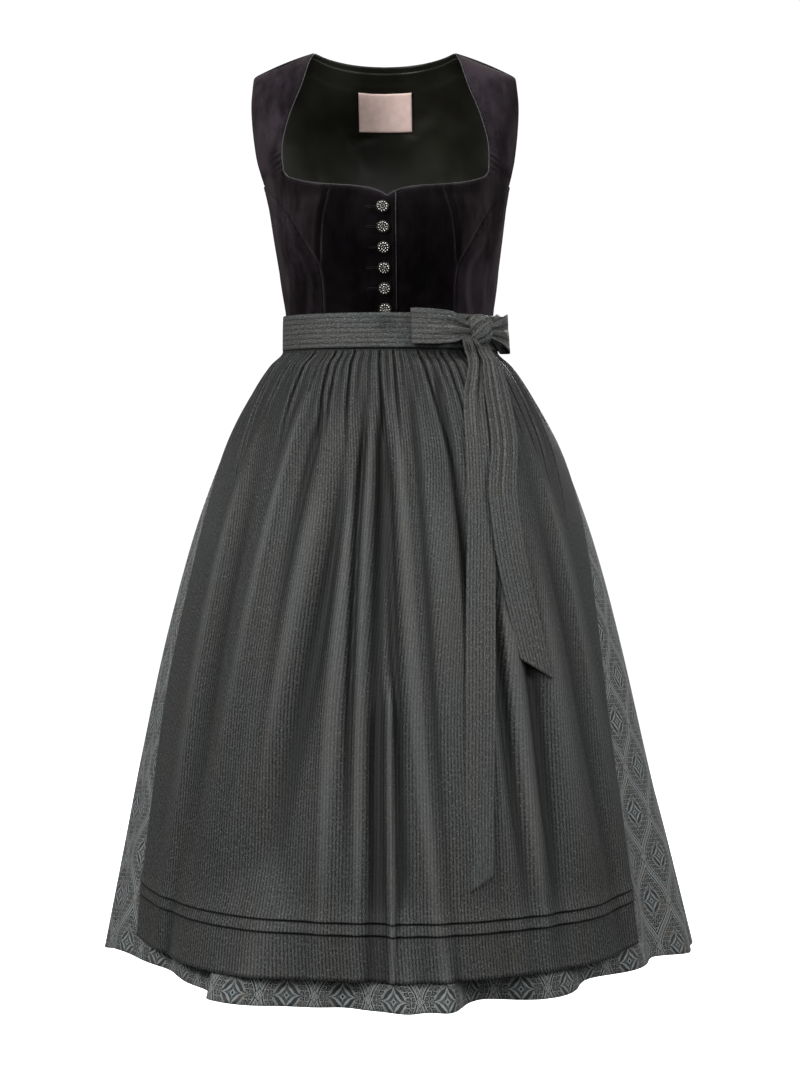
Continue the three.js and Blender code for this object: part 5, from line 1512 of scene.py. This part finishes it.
def stitchAlong(bm, path, length, pitch, radius):
    path = np.array(path, float)
    run = np.concatenate([[0], np.cumsum(np.linalg.norm(np.diff(path, axis=0), axis=1))])
    for at in np.arange(pitch / 2, run[-1] - pitch / 2, pitch):
        places = (at - length / 2, at + length / 2)
        ends = [np.array([np.interp(x, run, path[:, k]) for k in range(3)]) for x in places]
        way = Vector(ends[1] - ends[0])
        turn = Vector((1, 0, 0)).rotation_difference(way).to_matrix().to_4x4()
        scale = Matrix.Diagonal((way.length / 2 * mm, radius * mm, radius * mm, 1))
        place = Matrix.Translation(Vector((ends[0] + ends[1]) / 2 * mm))
        bmesh.ops.create_icosphere(bm, subdivisions=1, radius=1, matrix=place @ turn @ scale)


def makeSewing():
    look = sewing
    stitch = (look["length"], look["pitch"], look["radius"])
    bm = bmesh.new()
    heights = np.linspace(band["topZ"] + 3, -189, 30)
    stitchAlong(bm, onFront(lap["edgeX"] - look["inset"] + 0 * heights, heights, 0.1), *stitch)
    for side in (-1, 1):
        angles = np.linspace(4 if side > 0 else 1, 51, 60)
        topZ = readTable(necklineFront, "angle", "z", angles) - look["inset"]
        edge = figurePoint(angles, topZ, 0.1)
        rises = np.linspace(0.1, 0.96, 50)
        strap = strapPoint(0.07 + 0 * rises, rises)
        strap[:, 1] -= 0.4
        path = np.concatenate([edge, strap])
        path[:, 0] *= side
        stitchAlong(bm, drifted(path), *stitch)
    claim(placeMesh("topstitch", bm, [thread]))
    bm = bmesh.new()
    for number in range(buttonForm["count"] - 1):
        z = buttonForm["firstZ"] - buttonForm["pitch"] * number
        turn = np.linspace(0, 2 * math.pi, 49)
        x = look["holeX"] + look["holeLength"] / 2 * np.sign(np.cos(turn)) * np.abs(np.cos(turn)) ** 0.6
        up = look["holeHeight"] / 2 * np.sin(turn)
        stitchAlong(bm, onFront(x, z + up, 0.1), *look["holeStitch"])
    claim(placeMesh("buttonholes", bm, [thread]))


makeSewing()
print("sewing made")

# Stage, light and camera

camera = dict(x=18.9, distance=3000, z=-507.5, photoMiddleZ=-585, fieldHeight=1302, sensor=36)


def makeCamera():
    data = bpy.data.cameras.new("camera")
    data.sensor_fit = "AUTO"
    data.sensor_width = camera["sensor"]
    data.lens = camera["sensor"] * camera["distance"] / camera["fieldHeight"]
    data.shift_y = (camera["photoMiddleZ"] - camera["z"]) / camera["fieldHeight"]
    obj = bpy.data.objects.new("camera", data)
    obj.location = (camera["x"] * mm, -camera["distance"] * mm, camera["z"] * mm)
    obj.rotation_euler = (math.pi / 2, 0, 0)
    bpy.context.scene.collection.objects.link(obj)
    bpy.context.scene.camera = obj


def makeFloor():
    bm = bmesh.new()
    bmesh.ops.create_circle(bm, cap_ends=True, segments=96, radius=9)
    bmesh.ops.translate(bm, vec=(0, 0, -1.32), verts=bm.verts)
    material, tree, shader, place, uv = startMaterial("paleFloor", Roughness=0.9, Specular_IOR_Level=0.1)
    shader.inputs["Base Color"].default_value = (0.8, 0.8, 0.8, 1)
    shader.inputs["Emission Color"].default_value = (1, 1, 1, 1)
    shader.inputs["Emission Strength"].default_value = 0.95
    floor = placeMesh("floor", bm, [material])
    floor.visible_diffuse = False
    floor.visible_glossy = False


lights = [
    dict(name="key", at=(-2.4, -2.2, 1.3), size=1.1, power=132),
    dict(name="rightSide", at=(2.8, -1.3, 0.7), size=1.1, power=66),
    dict(name="front", at=(0.4, -3.8, 0.5), size=1.8, power=44),
    dict(name="overhead", at=(0.0, -0.5, 2.2), size=1.1, power=56),
    dict(name="behind", at=(0.8, 2.8, 0.9), size=1.6, power=70),
]


def makeLights():
    middle = Vector((0, 0, -0.5))
    for spec in lights:
        data = bpy.data.lights.new(spec["name"], "AREA")
        data.shape = "SQUARE"
        data.size = spec["size"]
        data.energy = spec["power"]
        obj = bpy.data.objects.new(spec["name"], data)
        obj.location = spec["at"]
        obj.rotation_euler = (middle - obj.location).to_track_quat("-Z", "Y").to_euler()
        bpy.context.scene.collection.objects.link(obj)


def makeWorld():
    world = bpy.data.worlds.new("studio")
    bpy.context.scene.world = world
    world.use_nodes = True
    tree = world.node_tree
    background = tree.nodes["Background"]
    background.inputs["Color"].default_value = (1, 1, 1, 1)
    background.inputs["Strength"].default_value = 0.12
    seen = tree.nodes.new("ShaderNodeBackground")
    seen.inputs["Color"].default_value = (1, 1, 1, 1)
    seen.inputs["Strength"].default_value = 1.05
    rays = tree.nodes.new("ShaderNodeLightPath")
    mix = tree.nodes.new("ShaderNodeMixShader")
    tree.links.new(rays.outputs["Is Camera Ray"], mix.inputs[0])
    tree.links.new(background.outputs[0], mix.inputs[1])
    tree.links.new(seen.outputs[0], mix.inputs[2])
    tree.links.new(mix.outputs[0], tree.nodes["World Output"].inputs["Surface"])


makeCamera()
makeFloor()
makeLights()
makeWorld()
bpy.context.scene.view_settings.view_transform = "Standard"
print("camera, floor and lights made")
